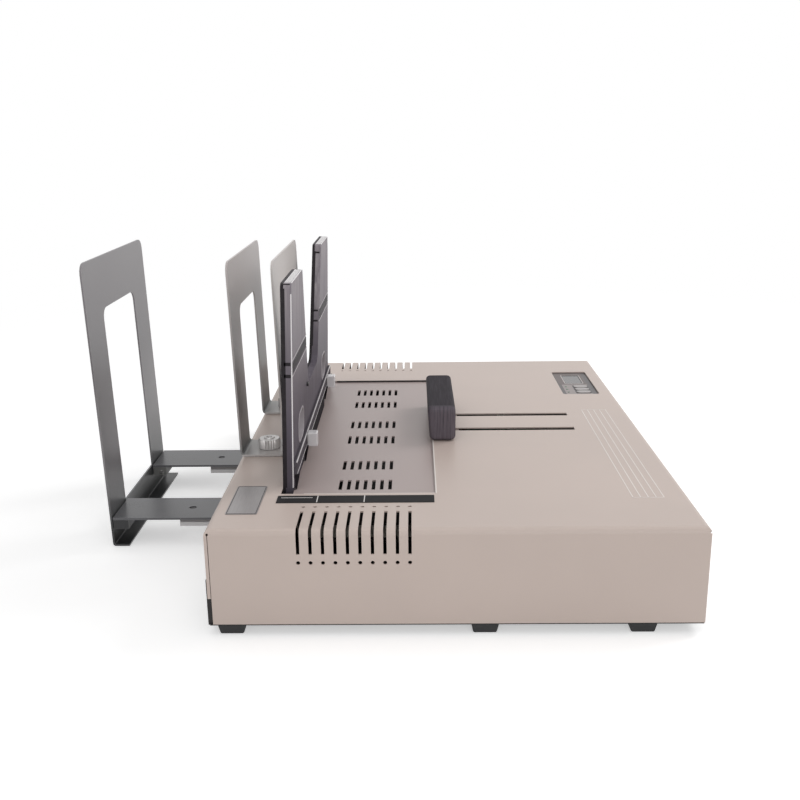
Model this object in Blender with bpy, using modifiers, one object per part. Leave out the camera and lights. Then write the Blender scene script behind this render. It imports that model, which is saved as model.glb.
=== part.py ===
"""Thermal binding machine with its document cooling rack.

Frame: +Z up, front (the operator's side) towards -Y, the operator's left towards -X.
The origin is on the table, under the middle of the machine and its drawn-out rack.
All lengths are in metres.
"""
import math

import bmesh
import bpy
from mathutils import Matrix, Vector

# Fits shared by every piece
SEAT_GAP = 0.0003
RUN_GAP = 0.0005
CUT_MARGIN = 0.002
WELD = 0.000002
FLAT_ANGLE = math.radians(0.1)
JOIN_DEPTH = 0.0004
SIDES = ("left", "right")

# Case
CASE_WIDTH = 0.4906
CASE_LENGTH = 0.350
COVER_HEIGHT = 0.072
COVER_SHEET = 0.0012
FOLD_RADIUS = 0.004
FOOT_HEIGHT = 0.0080
BASE_DROP = 0.001
BASE_SHEET = 0.0015
BASE_LIP = 0.012
BASE_FIT = 0.0004
REAR_STEP = 0.001
REAR_FLANGE_LIFT = 0.034
SEAM_WIDTH = 0.0005
SEAM_INSET = 0.0022
RELIEF_RADIUS = 0.0009
RELIEF_INSET = 0.0006
REAR_NOTCH_LENGTH = 0.0025
REAR_NOTCH_HEIGHT = 0.020

# Well in the top, measured from the rear face and from the case's middle
WELL_REAR = 0.0450
WELL_LENGTH = 0.1180
WELL_LEFT_MARGIN = 0.0683
WELL_RIGHT_MARGIN = 0.0863
WELL_WIDTH = CASE_WIDTH - WELL_LEFT_MARGIN - WELL_RIGHT_MARGIN
WELL_CENTRE_X = (WELL_LEFT_MARGIN - WELL_RIGHT_MARGIN) / 2
WELL_FRONT = WELL_REAR + WELL_LENGTH

# Corner vents
VENT_COUNT = 10
VENT_PITCH = 0.00865
VENT_FIRST = 0.0649
VENT_WIDTH = 0.0024
VENT_TOP_REACH = 0.0336
VENT_SIDE_FOOT = 0.0535
VENT_DOT_RADIUS = 0.0015
VENT_DOT_TOP = 0.042
VENT_DOT_SIDE = 0.0472

# Carriage
TRAVEL_SPARE = 0.018
TRAVEL = WELL_LENGTH - TRAVEL_SPARE
TRAY_SHEET = 0.0012
TRAY_DEPTH = 0.0005
TRAY_OVERLAP = 0.008
TRAY_FRONT_LAP = 0.024
TRAY_FRONT = WELL_FRONT + TRAY_FRONT_LAP
TRAY_HEM = 0.004
TRAY_SLOT_COUNT = 7
TRAY_SLOT_PITCH = 0.0064
TRAY_SLOT_FIRST = 0.0888
TRAY_SLOT_WIDTH = 0.0028
TRAY_SLOT_LENGTH = 0.0210
TRAY_ROW_GAP = 0.045
TRAY_PAIR_COUNT = 3
TRAY_PAIR_PITCH = WELL_WIDTH / TRAY_PAIR_COUNT - SEAT_GAP
TRAY_VENT_CENTRE_X = -0.0199

CLAMP_SIDE_GAP = 0.012
CLAMP_WIDTH = WELL_WIDTH - 2 * CLAMP_SIDE_GAP
CLAMP_TOP = 0.2390
CLAMP_FOOT_DROP = 0.021
CLAMP_THICKNESS = 0.0058
CLAMP_BACKING = 0.0020
CLAMP_SETBACK = 0.0004
CLAMP_REAR = WELL_REAR - CLAMP_SETBACK
CLAMP_LEAN = math.radians(1.7)
CLAMP_GAP_FLOOR = 0.1345
CLAMP_GAP_FLOOR_WIDTH = 0.084
CLAMP_GAP_MOUTH_WIDTH = 0.162
CLAMP_CORNER = 0.004
CLAMP_GAP_CORNER = 0.012
CLAMP_GROOVE = 0.0018
CLAMP_GROOVE_DEPTH = 0.0008
CLAMP_GROOVE_LOW = 0.1698
CLAMP_GROOVE_PITCH = 0.0092
CLAMP_HOLE_WIDTH = 0.040
CLAMP_HOLE_HEIGHT = 0.026
CLAMP_HOLE_HEIGHT_CENTRE = 0.1155
CLAMP_HOLE_FROM_SIDE = 0.056
CLAMP_HOLE_SPREAD = CLAMP_WIDTH - 2 * CLAMP_HOLE_FROM_SIDE
CLAMP_HOLE_CORNER_SHARE = 0.9

# Handle
HANDLE_LENGTH = 0.1165
HANDLE_DEPTH = 0.0224
HANDLE_SLANT = 0.0022
HANDLE_HEIGHT = 0.0305
HANDLE_OVERHANG = 0.0031
HANDLE_REAR = WELL_FRONT - HANDLE_OVERHANG
HANDLE_CENTRE_X = 0.0045
HANDLE_ROUND = 0.004
STEM_RADIUS = 0.003
STEM_CLEARANCE = 0.0012
STEM_SPREAD = 0.045
STEM_REACH = 0.014
STEM_NUT_RADIUS = 0.0055
STEM_NUT_HEIGHT = 0.005
SLOT_SPARE = 0.0164

# Slide rods
ROD_RADIUS = 0.004
ROD_RUN = 0.00008
ROD_OUTSET = 0.002
ROD_SPREAD = WELL_WIDTH + 2 * ROD_OUTSET
ROD_DROP = 0.0105
ROD_REAR = 0.018
ROD_FRONT_GAP = 0.054
ROD_FRONT = CASE_LENGTH - ROD_FRONT_GAP
BUSH_WIDTH = 0.012
BUSH_HEIGHT = 0.015
BUSH_REAR_LAP = 0.022
BUSH_FRONT_LAP = 0.009
BUSH_REAR = WELL_REAR + BUSH_REAR_LAP
BUSH_FRONT = TRAY_FRONT - BUSH_FRONT_LAP
BRACKET_SHEET = 0.002
BRACKET_WIDTH = 0.020
BRACKET_FOOT = 0.014
BRACKET_HEAD = 0.005
BRIDGE_LOW = 0.0355

# Heater
PLATE_THICKNESS = 0.006
PLATE_DEPTH = 0.025
PLATE_SIDE_GAP = 0.0115
PLATE_FRONT_GAP = 0.007
PLATE_SETBACK = 0.001
PLATE_REAR = WELL_REAR - PLATE_SETBACK
PLATE_LENGTH = WELL_LENGTH + PLATE_SETBACK - PLATE_FRONT_GAP
PLATE_WIDTH = WELL_WIDTH - 2 * PLATE_SIDE_GAP
ELEMENT_THICKNESS = 0.002
ELEMENT_END_GAP = 0.016
ELEMENT_SIDE_GAP = 0.025
ELEMENT_LENGTH = PLATE_LENGTH - 2 * ELEMENT_END_GAP
ELEMENT_WIDTH = PLATE_WIDTH - 2 * ELEMENT_SIDE_GAP
SHIELD_SHEET = 0.001
SHIELD_DROP = 0.013
SHIELD_MARGIN = 0.0015
SHIELD_FRONT_LIP = 0.006
SPACER_RADIUS = 0.004
SPACER_INSET = 0.010
THERMOSTAT_RADIUS = 0.008
THERMOSTAT_HEIGHT = 0.006

# Cooling rack
RACK_SHEET = 0.0015
RACK_BEND = 0.0025
RACK_LEAN = math.radians(1.35)
RACK_TOP = 0.2444
RACK_CORNER = 0.009
OUTER_WIDTH = 0.180
OUTER_CENTRE_X = -0.0015
OUTER_LEG = 0.043
OUTER_WINDOW_TOP = 0.2006
OUTER_BEND = 0.0008
OUTER_REACH = 0.1135
OUTER_GROUND_GAP = 0.0005
OUTER_FLANGE = 0.0127
OUTER_SILL = 0.0265
INNER_WIDTH = 0.1655
INNER_CENTRE_X = -0.0085
INNER_LEG = 0.0412
INNER_WINDOW_TOP = 0.2025
INNER_REAR = 0.0
INNER_PITCH = 0.0362
ARM_SPAN = OUTER_WIDTH
ARM_CENTRE_X = OUTER_CENTRE_X
ARM_WIDTH = 0.046
ARM_SHEET = 0.002
ARM_TOP = 0.0265
ARM_FRONT = 0.010
ARM_TAB = 0.013
RAIL_WIDTH = 0.020
RAIL_HEIGHT = 0.011
RAIL_REAR = 0.059
RAIL_LENGTH = 0.131
RAIL_GROOVE = 0.0012
GUIDE_WALL = 0.0015
GUIDE_REAR = 0.003
GUIDE_LENGTH = 0.150
GUIDE_LAP = 0.006
ARM_SCREW_RADIUS = 0.003
ARM_SCREW_FROM_RAIL_END = 0.010
BLOCK_HEIGHT = 0.008
BLOCK_WIDTH = ARM_WIDTH - 2 * SEAT_GAP
KNURL_RADIUS = 0.0035
KNURL_LENGTH = 0.006
NUT_RADIUS = 0.0092
NUT_HEIGHT = 0.0085
NUT_BOSS_RADIUS = 0.0045
NUT_BOSS_HEIGHT = 0.0008
NUT_CHAMFER = 0.0006
STUD_RADIUS = 0.0025
STUD_FROM_REAR = 0.0220
STUD_FROM_EDGE = 0.01925
STUD_FLANGE_RADIUS = 0.005
STUD_FLANGE_HEIGHT = 0.0015

# Control panel
PANEL_FRONT_GAP = 0.051
PANEL_REAR = CASE_LENGTH - PANEL_FRONT_GAP
PANEL_LENGTH = 0.037
PANEL_WIDTH = 0.092
PANEL_FROM_SIDE = 0.1016
PANEL_CENTRE_X = CASE_WIDTH / 2 - PANEL_FROM_SIDE
PANEL_CORNER = 0.003
OVERLAY_THICKNESS = 0.0018
OVERLAY_MARGIN = 0.005
WINDOW_LENGTH = 0.018
WINDOW_WIDTH = 0.034
BUTTON_RADIUS = 0.0042
BUTTON_STRETCH = 0.003
BUTTON_COUNT = 3
BUTTON_ALONG_SHARE = 0.62
BUTTON_ACROSS_SHARE = 0.36
LAMP_ALONG_SHARE = 0.2
WINDOW_ACROSS_SHARE = 0.2
BUTTON_PITCH = 0.0105
BUTTON_PROUD = 0.0007
BUTTON_DEPTH = 0.0045
BUTTON_TRAVEL = 0.0008
BUTTON_GAP = 0.0002
LED_RADIUS = 0.0012
BOARD_SHEET = 0.0016
BOARD_DROP = 0.0085
SWITCH_SIZE = 0.006
PANEL_POST_RADIUS = 0.002

# Power entry and supply
INLET_FROM_SIDE = 0.0426
INLET_X = CASE_WIDTH / 2 - INLET_FROM_SIDE
INLET_Z = 0.0260
INLET_WIDTH = 0.0275
INLET_HEIGHT = 0.0200
INLET_DEPTH = 0.020
INLET_FLANGE_WIDTH = 0.048
INLET_FLANGE_HEIGHT = 0.0225
INLET_FLANGE = 0.002
INLET_WALL = 0.0018
INLET_RECESS = 0.0150
ROCKER_FROM_INLET = 0.086
ROCKER_X = INLET_X - ROCKER_FROM_INLET
ROCKER_WIDTH = 0.0215
ROCKER_HEIGHT = 0.0150
ROCKER_WALL = 0.0016
ROCKER_DEPTH = 0.016
ROCKER_ANGLE = math.radians(10.0)
ROCKER_PROUD = 0.0045
FUSE_FROM_INLET = 0.062
FUSE_CAP_X = INLET_X - FUSE_FROM_INLET
FUSE_CAP_RADIUS = 0.0065
FUSE_CAP_PROUD = 0.005
FUSE_BODY_RADIUS = 0.005
FUSE_BODY_DEPTH = 0.022
SUPPLY_FRONT_GAP = 0.068
SUPPLY_LENGTH = 0.082
SUPPLY_REAR = CASE_LENGTH - SUPPLY_FRONT_GAP - SUPPLY_LENGTH
SUPPLY_WIDTH = 0.086
SUPPLY_FROM_SIDE = 0.0953
SUPPLY_CENTRE_X = CASE_WIDTH / 2 - SUPPLY_FROM_SIDE
SUPPLY_LIFT = 0.006
CORE_LENGTH = 0.050
CORE_WIDTH = 0.042
CORE_HEIGHT = 0.038
CORE_FRONT_GAP = 0.095
CORE_REAR = CASE_LENGTH - CORE_FRONT_GAP - CORE_LENGTH
CORE_X = 0.0200
CORE_LIMB = 0.009

# Trim
FOOT_TOP = 0.0198
FOOT_BOTTOM = 0.0168
FOOT_EDGE = 0.0012
FOOT_INSET = 0.0111
FOOT_REAR_GAP = 0.0152
FOOT_FRONT_GAP = 0.0425
FOOT_MIDDLE_SHARE = 0.617
FOOT_SPAN = CASE_LENGTH - FOOT_REAR_GAP - FOOT_FRONT_GAP
FOOT_STATIONS = (FOOT_REAR_GAP, FOOT_REAR_GAP + FOOT_MIDDLE_SHARE * FOOT_SPAN, CASE_LENGTH - FOOT_FRONT_GAP)

# Positions worked out from the sizes above
COVER_FOOT_Z = FOOT_HEIGHT + BASE_DROP
TOP_Z = COVER_FOOT_Z + COVER_HEIGHT
UNDER_TOP_Z = TOP_Z - COVER_SHEET
FLOOR_Z = FOOT_HEIGHT + BASE_SHEET
TRAY_TOP_Z = UNDER_TOP_Z - TRAY_DEPTH
TRAY_UNDER_Z = TRAY_TOP_Z - TRAY_SHEET
REAR_OVERHANG = OUTER_REACH + RACK_SHEET + RACK_TOP * math.tan(RACK_LEAN)
REAR_FACE_Y = (CASE_LENGTH + REAR_OVERHANG) / 2 - REAR_OVERHANG
HALF_CASE = CASE_WIDTH / 2
PARTS_NAME = "thermal_binding_machine"


def from_rear(distance):
    """Y of a point this far forward of the case's rear face."""
    return REAR_FACE_Y - distance


def clear_scene():
    for item in list(bpy.data.objects):
        bpy.data.objects.remove(item, do_unlink=True)
    for group in list(bpy.data.collections):
        bpy.data.collections.remove(group)


def make_collection(name):
    group = bpy.data.collections.new(name)
    bpy.context.scene.collection.children.link(group)
    return group


class Finishes:
    """Plain materials, made once each."""

    colours = {
        "beige_paint": ((0.52, 0.44, 0.40), 0.45, 0.1),
        "zinc_sheet": ((0.42, 0.42, 0.43), 0.4, 0.8),
        "black_sheet": ((0.03, 0.03, 0.03), 0.5, 0.2),
        "grey_paint": ((0.16, 0.15, 0.155), 0.4, 0.5),
        "light_grey_paint": ((0.40, 0.37, 0.36), 0.4, 0.4),
        "bright_steel": ((0.62, 0.61, 0.60), 0.25, 1.0),
        "aluminium": ((0.66, 0.65, 0.64), 0.35, 1.0),
        "smoky_plastic": ((0.16, 0.14, 0.16), 0.2, 0.0),
        "black_plastic": ((0.03, 0.03, 0.035), 0.35, 0.0),
        "clear_plastic": ((0.75, 0.72, 0.72), 0.15, 0.0),
        "rubber": ((0.02, 0.02, 0.02), 0.8, 0.0),
        "dark_label": ((0.04, 0.035, 0.035), 0.35, 0.0),
        "grey_label": ((0.30, 0.28, 0.28), 0.35, 0.2),
        "panel_film": ((0.10, 0.09, 0.09), 0.35, 0.0),
        "button_film": ((0.34, 0.31, 0.31), 0.4, 0.0),
        "circuit_board": ((0.03, 0.16, 0.07), 0.4, 0.0),
        "ceramic": ((0.70, 0.66, 0.58), 0.6, 0.0),
        "mica": ((0.45, 0.38, 0.28), 0.5, 0.0),
        "copper": ((0.55, 0.27, 0.14), 0.4, 0.8),
        "wire_sleeve": ((0.45, 0.05, 0.04), 0.5, 0.0),
        "led": ((0.10, 0.45, 0.12), 0.2, 0.0),
    }

    def __init__(self):
        self.made = {}

    def get(self, name):
        if name not in self.made:
            colour, roughness, metallic = self.colours[name]
            material = bpy.data.materials.new(name)
            material.use_nodes = True
            shader = material.node_tree.nodes["Principled BSDF"]
            shader.inputs["Base Color"].default_value = (*colour, 1)
            shader.inputs["Roughness"].default_value = roughness
            shader.inputs["Metallic"].default_value = metallic
            material.diffuse_color = (*colour, 1)
            self.made[name] = material
        return self.made[name]


FINISHES = Finishes()
COLLECTIONS = {}


def add_part(name, mesh, finish):
    """Put a mesh into the model as one named sub-part."""
    mesh.name = name
    item = bpy.data.objects.new(name, mesh)
    COLLECTIONS["parts"].objects.link(item)
    mesh.materials.clear()
    mesh.materials.append(FINISHES.get(finish))
    return item


def add_cutter(name, mesh):
    item = bpy.data.objects.new(name, mesh)
    COLLECTIONS["cutters"].objects.link(item)
    item.hide_render = True
    item.display_type = "WIRE"
    return item


def cut(part, cutter, operation="DIFFERENCE"):
    step = part.modifiers.new(cutter.name, "BOOLEAN")
    step.operation = operation
    step.object = cutter
    step.solver = "EXACT"
    return step


def join(part, name, mesh):
    """Make a shape that overlaps a part one body with it."""
    return cut(part, add_cutter(name, mesh), "UNION")


def bevel(part, width, segments=2, angle=30.0):
    step = part.modifiers.new("rounded_edges", "BEVEL")
    step.width = width
    step.segments = segments
    step.limit_method = "ANGLE"
    step.angle_limit = math.radians(angle)
    return step


def add_box_to(shape, low, high):
    """Add a closed box between two corners to a bmesh."""
    low = Vector(low)
    high = Vector(high)
    size = high - low
    matrix = Matrix.Translation((low + high) / 2) @ Matrix.Diagonal((*size, 1))
    return bmesh.ops.create_cube(shape, size=1, matrix=matrix)["verts"]


def box_mesh(name, *corner_pairs):
    """A mesh of closed boxes, each given by its low and high corner."""
    shape = bmesh.new()
    for low, high in corner_pairs:
        add_box_to(shape, low, high)
    return finish_mesh(name, shape)


def finish_mesh(name, shape):
    bmesh.ops.recalc_face_normals(shape, faces=shape.faces)
    mesh = bpy.data.meshes.new(name)
    shape.to_mesh(mesh)
    shape.free()
    return mesh


def axis_matrix(centre, axis):
    turn = Vector((0, 0, 1)).rotation_difference(Vector(axis)).to_matrix().to_4x4()
    return Matrix.Translation(Vector(centre)) @ turn


def add_rod_to(shape, centre, axis, radius, length, sides=20, far_radius=None):
    """Add a closed cylinder or cone, centred on a point, along an axis."""
    far_radius = radius if far_radius is None else far_radius
    bmesh.ops.create_cone(
        shape,
        cap_ends=True,
        segments=sides,
        radius1=radius,
        radius2=far_radius,
        depth=length,
        matrix=axis_matrix(centre, axis),
    )


def rod_mesh(name, rods, sides=20):
    """A mesh of closed cylinders given as (centre, axis, radius, length)."""
    shape = bmesh.new()
    for centre, axis, radius, length in rods:
        add_rod_to(shape, centre, axis, radius, length, sides)
    mesh = finish_mesh(name, shape)
    smooth(mesh)
    return mesh


def smooth(mesh, angle=40.0):
    mesh.shade_smooth()
    mesh.set_sharp_from_angle(angle=math.radians(angle))


def arc(centre, radius, start, end, steps):
    """Points on an arc, angles in degrees, ends included."""
    points = []
    for step in range(steps + 1):
        angle = math.radians(start + (end - start) * step / steps)
        points.append((centre[0] + radius * math.cos(angle), centre[1] + radius * math.sin(angle)))
    return points


def rounded_path(points, radii, steps=4, closed=True):
    """Replace each corner of a path by an arc of its own radius."""
    count = len(points)
    result = []
    for index, corner in enumerate(points):
        radius = radii[index]
        at_end = not closed and index in (0, count - 1)
        if radius == 0 or at_end:
            result.append(tuple(corner))
            continue
        here = Vector(corner)
        before = (Vector(points[index - 1]) - here).normalized()
        after = (Vector(points[(index + 1) % count]) - here).normalized()
        half = before.angle(after) / 2
        reach = radius / math.tan(half)
        start = here + before * reach
        end = here + after * reach
        centre = here + (before + after).normalized() * radius / math.sin(half)
        first = start - centre
        turn = first.angle_signed(end - centre)
        for step in range(steps + 1):
            spun = first.copy()
            spun.rotate(Matrix.Rotation(-turn * step / steps, 2))
            result.append(tuple(centre + spun))
    return result


def sheet_outline(path, thickness):
    """Closed outline of a sheet that follows a path, its other face on the left."""
    left = []
    count = len(path)
    for index in range(count):
        here = Vector(path[index])
        back = (here - Vector(path[max(index - 1, 0)])).normalized()
        ahead = (Vector(path[min(index + 1, count - 1)]) - here).normalized()
        if index == 0:
            back = ahead
        if index == count - 1:
            ahead = back
        normal_back = Vector((-back.y, back.x))
        normal_ahead = Vector((-ahead.y, ahead.x))
        mitre = (normal_back + normal_ahead).normalized()
        stretch = thickness / max(mitre.dot(normal_back), 0.5)
        left.append(tuple(here + mitre * stretch))
    return list(path) + left[::-1]


def outline_mesh(name, loops, thickness, matrix):
    """A flat outline, holes included, given a thickness and set in place."""
    curve = bpy.data.curves.new(name, "CURVE")
    curve.dimensions = "2D"
    curve.fill_mode = "BOTH"
    curve.extrude = thickness / 2
    for loop in loops:
        spline = curve.splines.new("POLY")
        spline.points.add(len(loop) - 1)
        for point, (along, across) in zip(spline.points, loop):
            point.co = (along, across, 0, 1)
        spline.use_cyclic_u = True
    holder = bpy.data.objects.new(name, curve)
    bpy.context.scene.collection.objects.link(holder)
    bpy.context.view_layer.update()
    evaluated = holder.evaluated_get(bpy.context.evaluated_depsgraph_get())
    mesh = bpy.data.meshes.new_from_object(evaluated)
    bpy.data.objects.remove(holder)
    shape = bmesh.new()
    shape.from_mesh(mesh)
    bmesh.ops.remove_doubles(shape, verts=shape.verts, dist=WELD)
    bmesh.ops.dissolve_limit(shape, angle_limit=FLAT_ANGLE, verts=shape.verts, edges=shape.edges)
    bmesh.ops.transform(shape, matrix=matrix, verts=shape.verts)
    bpy.data.meshes.remove(mesh)
    return finish_mesh(name, shape)


# Outline planes: local x and y of an outline to the model's axes
SIDE_PLANE = Matrix(((0, 0, 1, 0), (1, 0, 0, 0), (0, 1, 0, 0), (0, 0, 0, 1)))
FRONT_PLANE = Matrix(((1, 0, 0, 0), (0, 0, -1, 0), (0, 1, 0, 0), (0, 0, 0, 1)))


def side_sheet(name, path, thickness, width, centre_x):
    """A bent sheet whose side view follows a (y, z) path, width wide along X."""
    matrix = Matrix.Translation((centre_x, 0, 0)) @ SIDE_PLANE
    return outline_mesh(name, [sheet_outline(path, thickness)], width, matrix)


def front_plate(name, loops, thickness, centre_y, centre_x=0.0):
    """A flat plate whose front view is a set of (x, z) loops."""
    matrix = Matrix.Translation((centre_x, centre_y, 0)) @ FRONT_PLANE
    return outline_mesh(name, loops, thickness, matrix)


def top_plate(name, loops, thickness, centre_z):
    """A flat plate whose top view is a set of (x, y) loops."""
    return outline_mesh(name, loops, thickness, Matrix.Translation((0, 0, centre_z)))


def rectangle(low, high, radii=(0, 0, 0, 0), steps=4):
    """Outline of a rectangle: corners run low-low, high-low, high-high, low-high."""
    corners = [low, (high[0], low[1]), high, (low[0], high[1])]
    return rounded_path(corners, radii, steps)


def corner_seam_cutter():
    """Slits that part the side flanges from the front and rear flanges."""
    shape = bmesh.new()
    fold_z = TOP_Z - FOLD_RADIUS
    low_z = COVER_FOOT_Z - CUT_MARGIN
    for side in (-1, 1):
        outer = side * (HALF_CASE + CUT_MARGIN)
        inner = side * (HALF_CASE - COVER_SHEET - CUT_MARGIN)
        low_x, high_x = sorted((outer, inner))
        low = (low_x, from_rear(SEAM_INSET + SEAM_WIDTH), low_z)
        add_box_to(shape, low, (high_x, from_rear(SEAM_INSET), fold_z))
        outer = side * (HALF_CASE - COVER_SHEET)
        inner = side * (HALF_CASE - COVER_SHEET - SEAM_WIDTH)
        low_x, high_x = sorted((outer, inner))
        low = (low_x, from_rear(CASE_LENGTH + CUT_MARGIN), low_z)
        add_box_to(shape, low, (high_x, from_rear(CASE_LENGTH - COVER_SHEET - CUT_MARGIN), fold_z))
    return add_cutter("corner_seams", finish_mesh("corner_seams", shape))


def relief_cutter():
    """Round relief holes where three faces of the bent cover meet."""
    rods = []
    for side in (-1, 1):
        for station in (SEAM_INSET + SEAM_WIDTH / 2, CASE_LENGTH - RELIEF_INSET):
            centre = (side * (HALF_CASE - COVER_SHEET), from_rear(station), TOP_Z - FOLD_RADIUS)
            rods.append((centre, (side, 0, 0.8), RELIEF_RADIUS, 2 * FOLD_RADIUS))
    return add_cutter("corner_reliefs", rod_mesh("corner_reliefs", rods, sides=10))


def vent_cutter():
    """Slots that run round both side folds."""
    shape = bmesh.new()
    for side in (-1, 1):
        outer = side * (HALF_CASE + CUT_MARGIN)
        inner = side * (HALF_CASE - VENT_TOP_REACH)
        low_x, high_x = sorted((outer, inner))
        for index in range(VENT_COUNT):
            centre = VENT_FIRST + index * VENT_PITCH
            low = (low_x, from_rear(centre + VENT_WIDTH / 2), COVER_FOOT_Z + VENT_SIDE_FOOT)
            high = (high_x, from_rear(centre - VENT_WIDTH / 2), TOP_Z + CUT_MARGIN)
            add_box_to(shape, low, high)
    return add_cutter("fold_vents", finish_mesh("fold_vents", shape))


def vent_dot_cutter():
    """Small round holes past each end of the vent slots."""
    rods = []
    for side in (-1, 1):
        for index in range(VENT_COUNT):
            station = from_rear(VENT_FIRST + index * VENT_PITCH)
            top = (side * (HALF_CASE - VENT_DOT_TOP), station, TOP_Z)
            rods.append((top, (0, 0, 1), VENT_DOT_RADIUS, 2 * FOLD_RADIUS))
            wall = (side * HALF_CASE, station, COVER_FOOT_Z + VENT_DOT_SIDE)
            rods.append((wall, (1, 0, 0), VENT_DOT_RADIUS, 2 * FOLD_RADIUS))
    return add_cutter("vent_dots", rod_mesh("vent_dots", rods, sides=8))


def stem_positions():
    return [HANDLE_CENTRE_X - STEM_SPREAD / 2, HANDLE_CENTRE_X + STEM_SPREAD / 2]


def stem_station():
    return HANDLE_REAR + HANDLE_DEPTH / 2


def stud_positions():
    reach = INNER_WIDTH / 2 - STUD_FROM_EDGE
    return [INNER_CENTRE_X - reach, INNER_CENTRE_X + reach]


def top_opening_cutter():
    """Well, handle slots, panel opening and the notches at the rear corners."""
    shape = bmesh.new()
    low_z = UNDER_TOP_Z - CUT_MARGIN
    high_z = TOP_Z + CUT_MARGIN
    half_well = WELL_WIDTH / 2
    low = (WELL_CENTRE_X - half_well, from_rear(WELL_REAR + WELL_LENGTH), low_z)
    high = (WELL_CENTRE_X + half_well, from_rear(WELL_REAR), high_z)
    add_box_to(shape, low, high)
    half_slot = STEM_RADIUS + STEM_CLEARANCE
    for centre in stem_positions():
        slot_rear = stem_station() - half_slot
        slot_front = stem_station() + half_slot + TRAVEL + SLOT_SPARE
        low = (centre - half_slot, from_rear(slot_front), low_z)
        high = (centre + half_slot, from_rear(slot_rear), high_z)
        add_box_to(shape, low, high)
    for side in (-1, 1):
        ends = (side * (HALF_CASE + CUT_MARGIN), side * (HALF_CASE - COVER_SHEET - BASE_FIT / 2))
        low_x, high_x = sorted(ends)
        low = (low_x, from_rear(REAR_NOTCH_LENGTH), COVER_FOOT_Z - CUT_MARGIN)
        high = (high_x, from_rear(-CUT_MARGIN), COVER_FOOT_Z + REAR_NOTCH_HEIGHT)
        add_box_to(shape, low, high)
    return add_cutter("top_openings", finish_mesh("top_openings", shape))


def panel_cutter():
    half = PANEL_WIDTH / 2
    low = (PANEL_CENTRE_X - half, from_rear(PANEL_REAR + PANEL_LENGTH))
    high = (PANEL_CENTRE_X + half, from_rear(PANEL_REAR))
    loop = rectangle(low, high, (PANEL_CORNER,) * 4)
    mesh = top_plate("panel_opening", [loop], COVER_SHEET + 2 * CUT_MARGIN, TOP_Z - COVER_SHEET / 2)
    return add_cutter("panel_opening", mesh)


def fixing_hole_cutter():
    """Holes for the rack studs in the top."""
    rods = []
    for centre in stud_positions():
        place = (centre, from_rear(STUD_FROM_REAR), TOP_Z)
        rods.append((place, (0, 0, 1), STUD_RADIUS + RUN_GAP, 2 * FOLD_RADIUS))
    return add_cutter("stud_holes", rod_mesh("stud_holes", rods, sides=16))


def rear_flange_cutter():
    """Shortens the rear flange, so that the base's rear wall shows below it."""
    half = HALF_CASE - COVER_SHEET
    low = (-half, from_rear(COVER_SHEET + CUT_MARGIN), COVER_FOOT_Z - CUT_MARGIN)
    high = (half, from_rear(-CUT_MARGIN), COVER_FOOT_Z + REAR_FLANGE_LIFT)
    return add_cutter("rear_flange_end", box_mesh("rear_flange_end", (low, high)))


def make_top_cover():
    """One sheet folded down on four sides, with its openings cut."""
    shape = bmesh.new()
    low = (-HALF_CASE, from_rear(CASE_LENGTH), COVER_FOOT_Z)
    high = (HALF_CASE, from_rear(0), TOP_Z)
    add_box_to(shape, low, high)
    bottom = [face for face in shape.faces if face.calc_center_median().z < COVER_FOOT_Z + WELD]
    bmesh.ops.delete(shape, geom=bottom, context="FACES")
    bmesh.ops.recalc_face_normals(shape, faces=shape.faces)
    folds = [edge for edge in shape.edges if all(vert.co.z > TOP_Z - WELD for vert in edge.verts)]
    bmesh.ops.bevel(shape, geom=folds, offset=FOLD_RADIUS, segments=4, profile=0.5, affect="EDGES")
    mesh = bpy.data.meshes.new("top_cover")
    shape.to_mesh(mesh)
    shape.free()
    cover = add_part("top_cover", mesh, "beige_paint")
    wall = cover.modifiers.new("sheet", "SOLIDIFY")
    wall.thickness = COVER_SHEET
    wall.offset = -1
    wall.use_even_offset = True
    cut(cover, top_opening_cutter())
    cut(cover, rear_flange_cutter())
    cut(cover, panel_cutter())
    cut(cover, vent_cutter())
    cut(cover, vent_dot_cutter())
    cut(cover, fixing_hole_cutter())
    cut(cover, corner_seam_cutter())
    cut(cover, relief_cutter())
    smooth(mesh, 20.0)
    return cover


def rear_wall_cutter():
    """Openings in the base's rear wall for the rack, inlet, switch, fuse and air."""
    shape = bmesh.new()
    low_y = from_rear(BASE_SHEET + CUT_MARGIN)
    high_y = from_rear(-REAR_STEP - CUT_MARGIN)
    rail_bottom = rail_low_z() - RUN_GAP
    arm_top = ARM_TOP + RUN_GAP
    for centre in arm_centres():
        half = ARM_WIDTH / 2 + RUN_GAP
        add_box_to(shape, (centre - half, low_y, rail_bottom), (centre + half, high_y, arm_top))
    half = INLET_WIDTH / 2 + SEAT_GAP
    rise = INLET_HEIGHT / 2 + SEAT_GAP
    add_box_to(shape, (INLET_X - half, low_y, INLET_Z - rise), (INLET_X + half, high_y, INLET_Z + rise))
    half = ROCKER_WIDTH / 2 + SEAT_GAP
    rise = ROCKER_HEIGHT / 2 + SEAT_GAP
    add_box_to(shape, (ROCKER_X - half, low_y, INLET_Z - rise), (ROCKER_X + half, high_y, INLET_Z + rise))
    for index in range(REAR_VENT_COUNT):
        centre = REAR_VENT_X + index * REAR_VENT_PITCH
        half = REAR_VENT_WIDTH / 2
        low = (centre - half, low_y, INLET_Z - REAR_VENT_HEIGHT / 2)
        high = (centre + half, high_y, INLET_Z + REAR_VENT_HEIGHT / 2)
        add_box_to(shape, low, high)
    return add_cutter("rear_wall_openings", finish_mesh("rear_wall_openings", shape))


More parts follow.
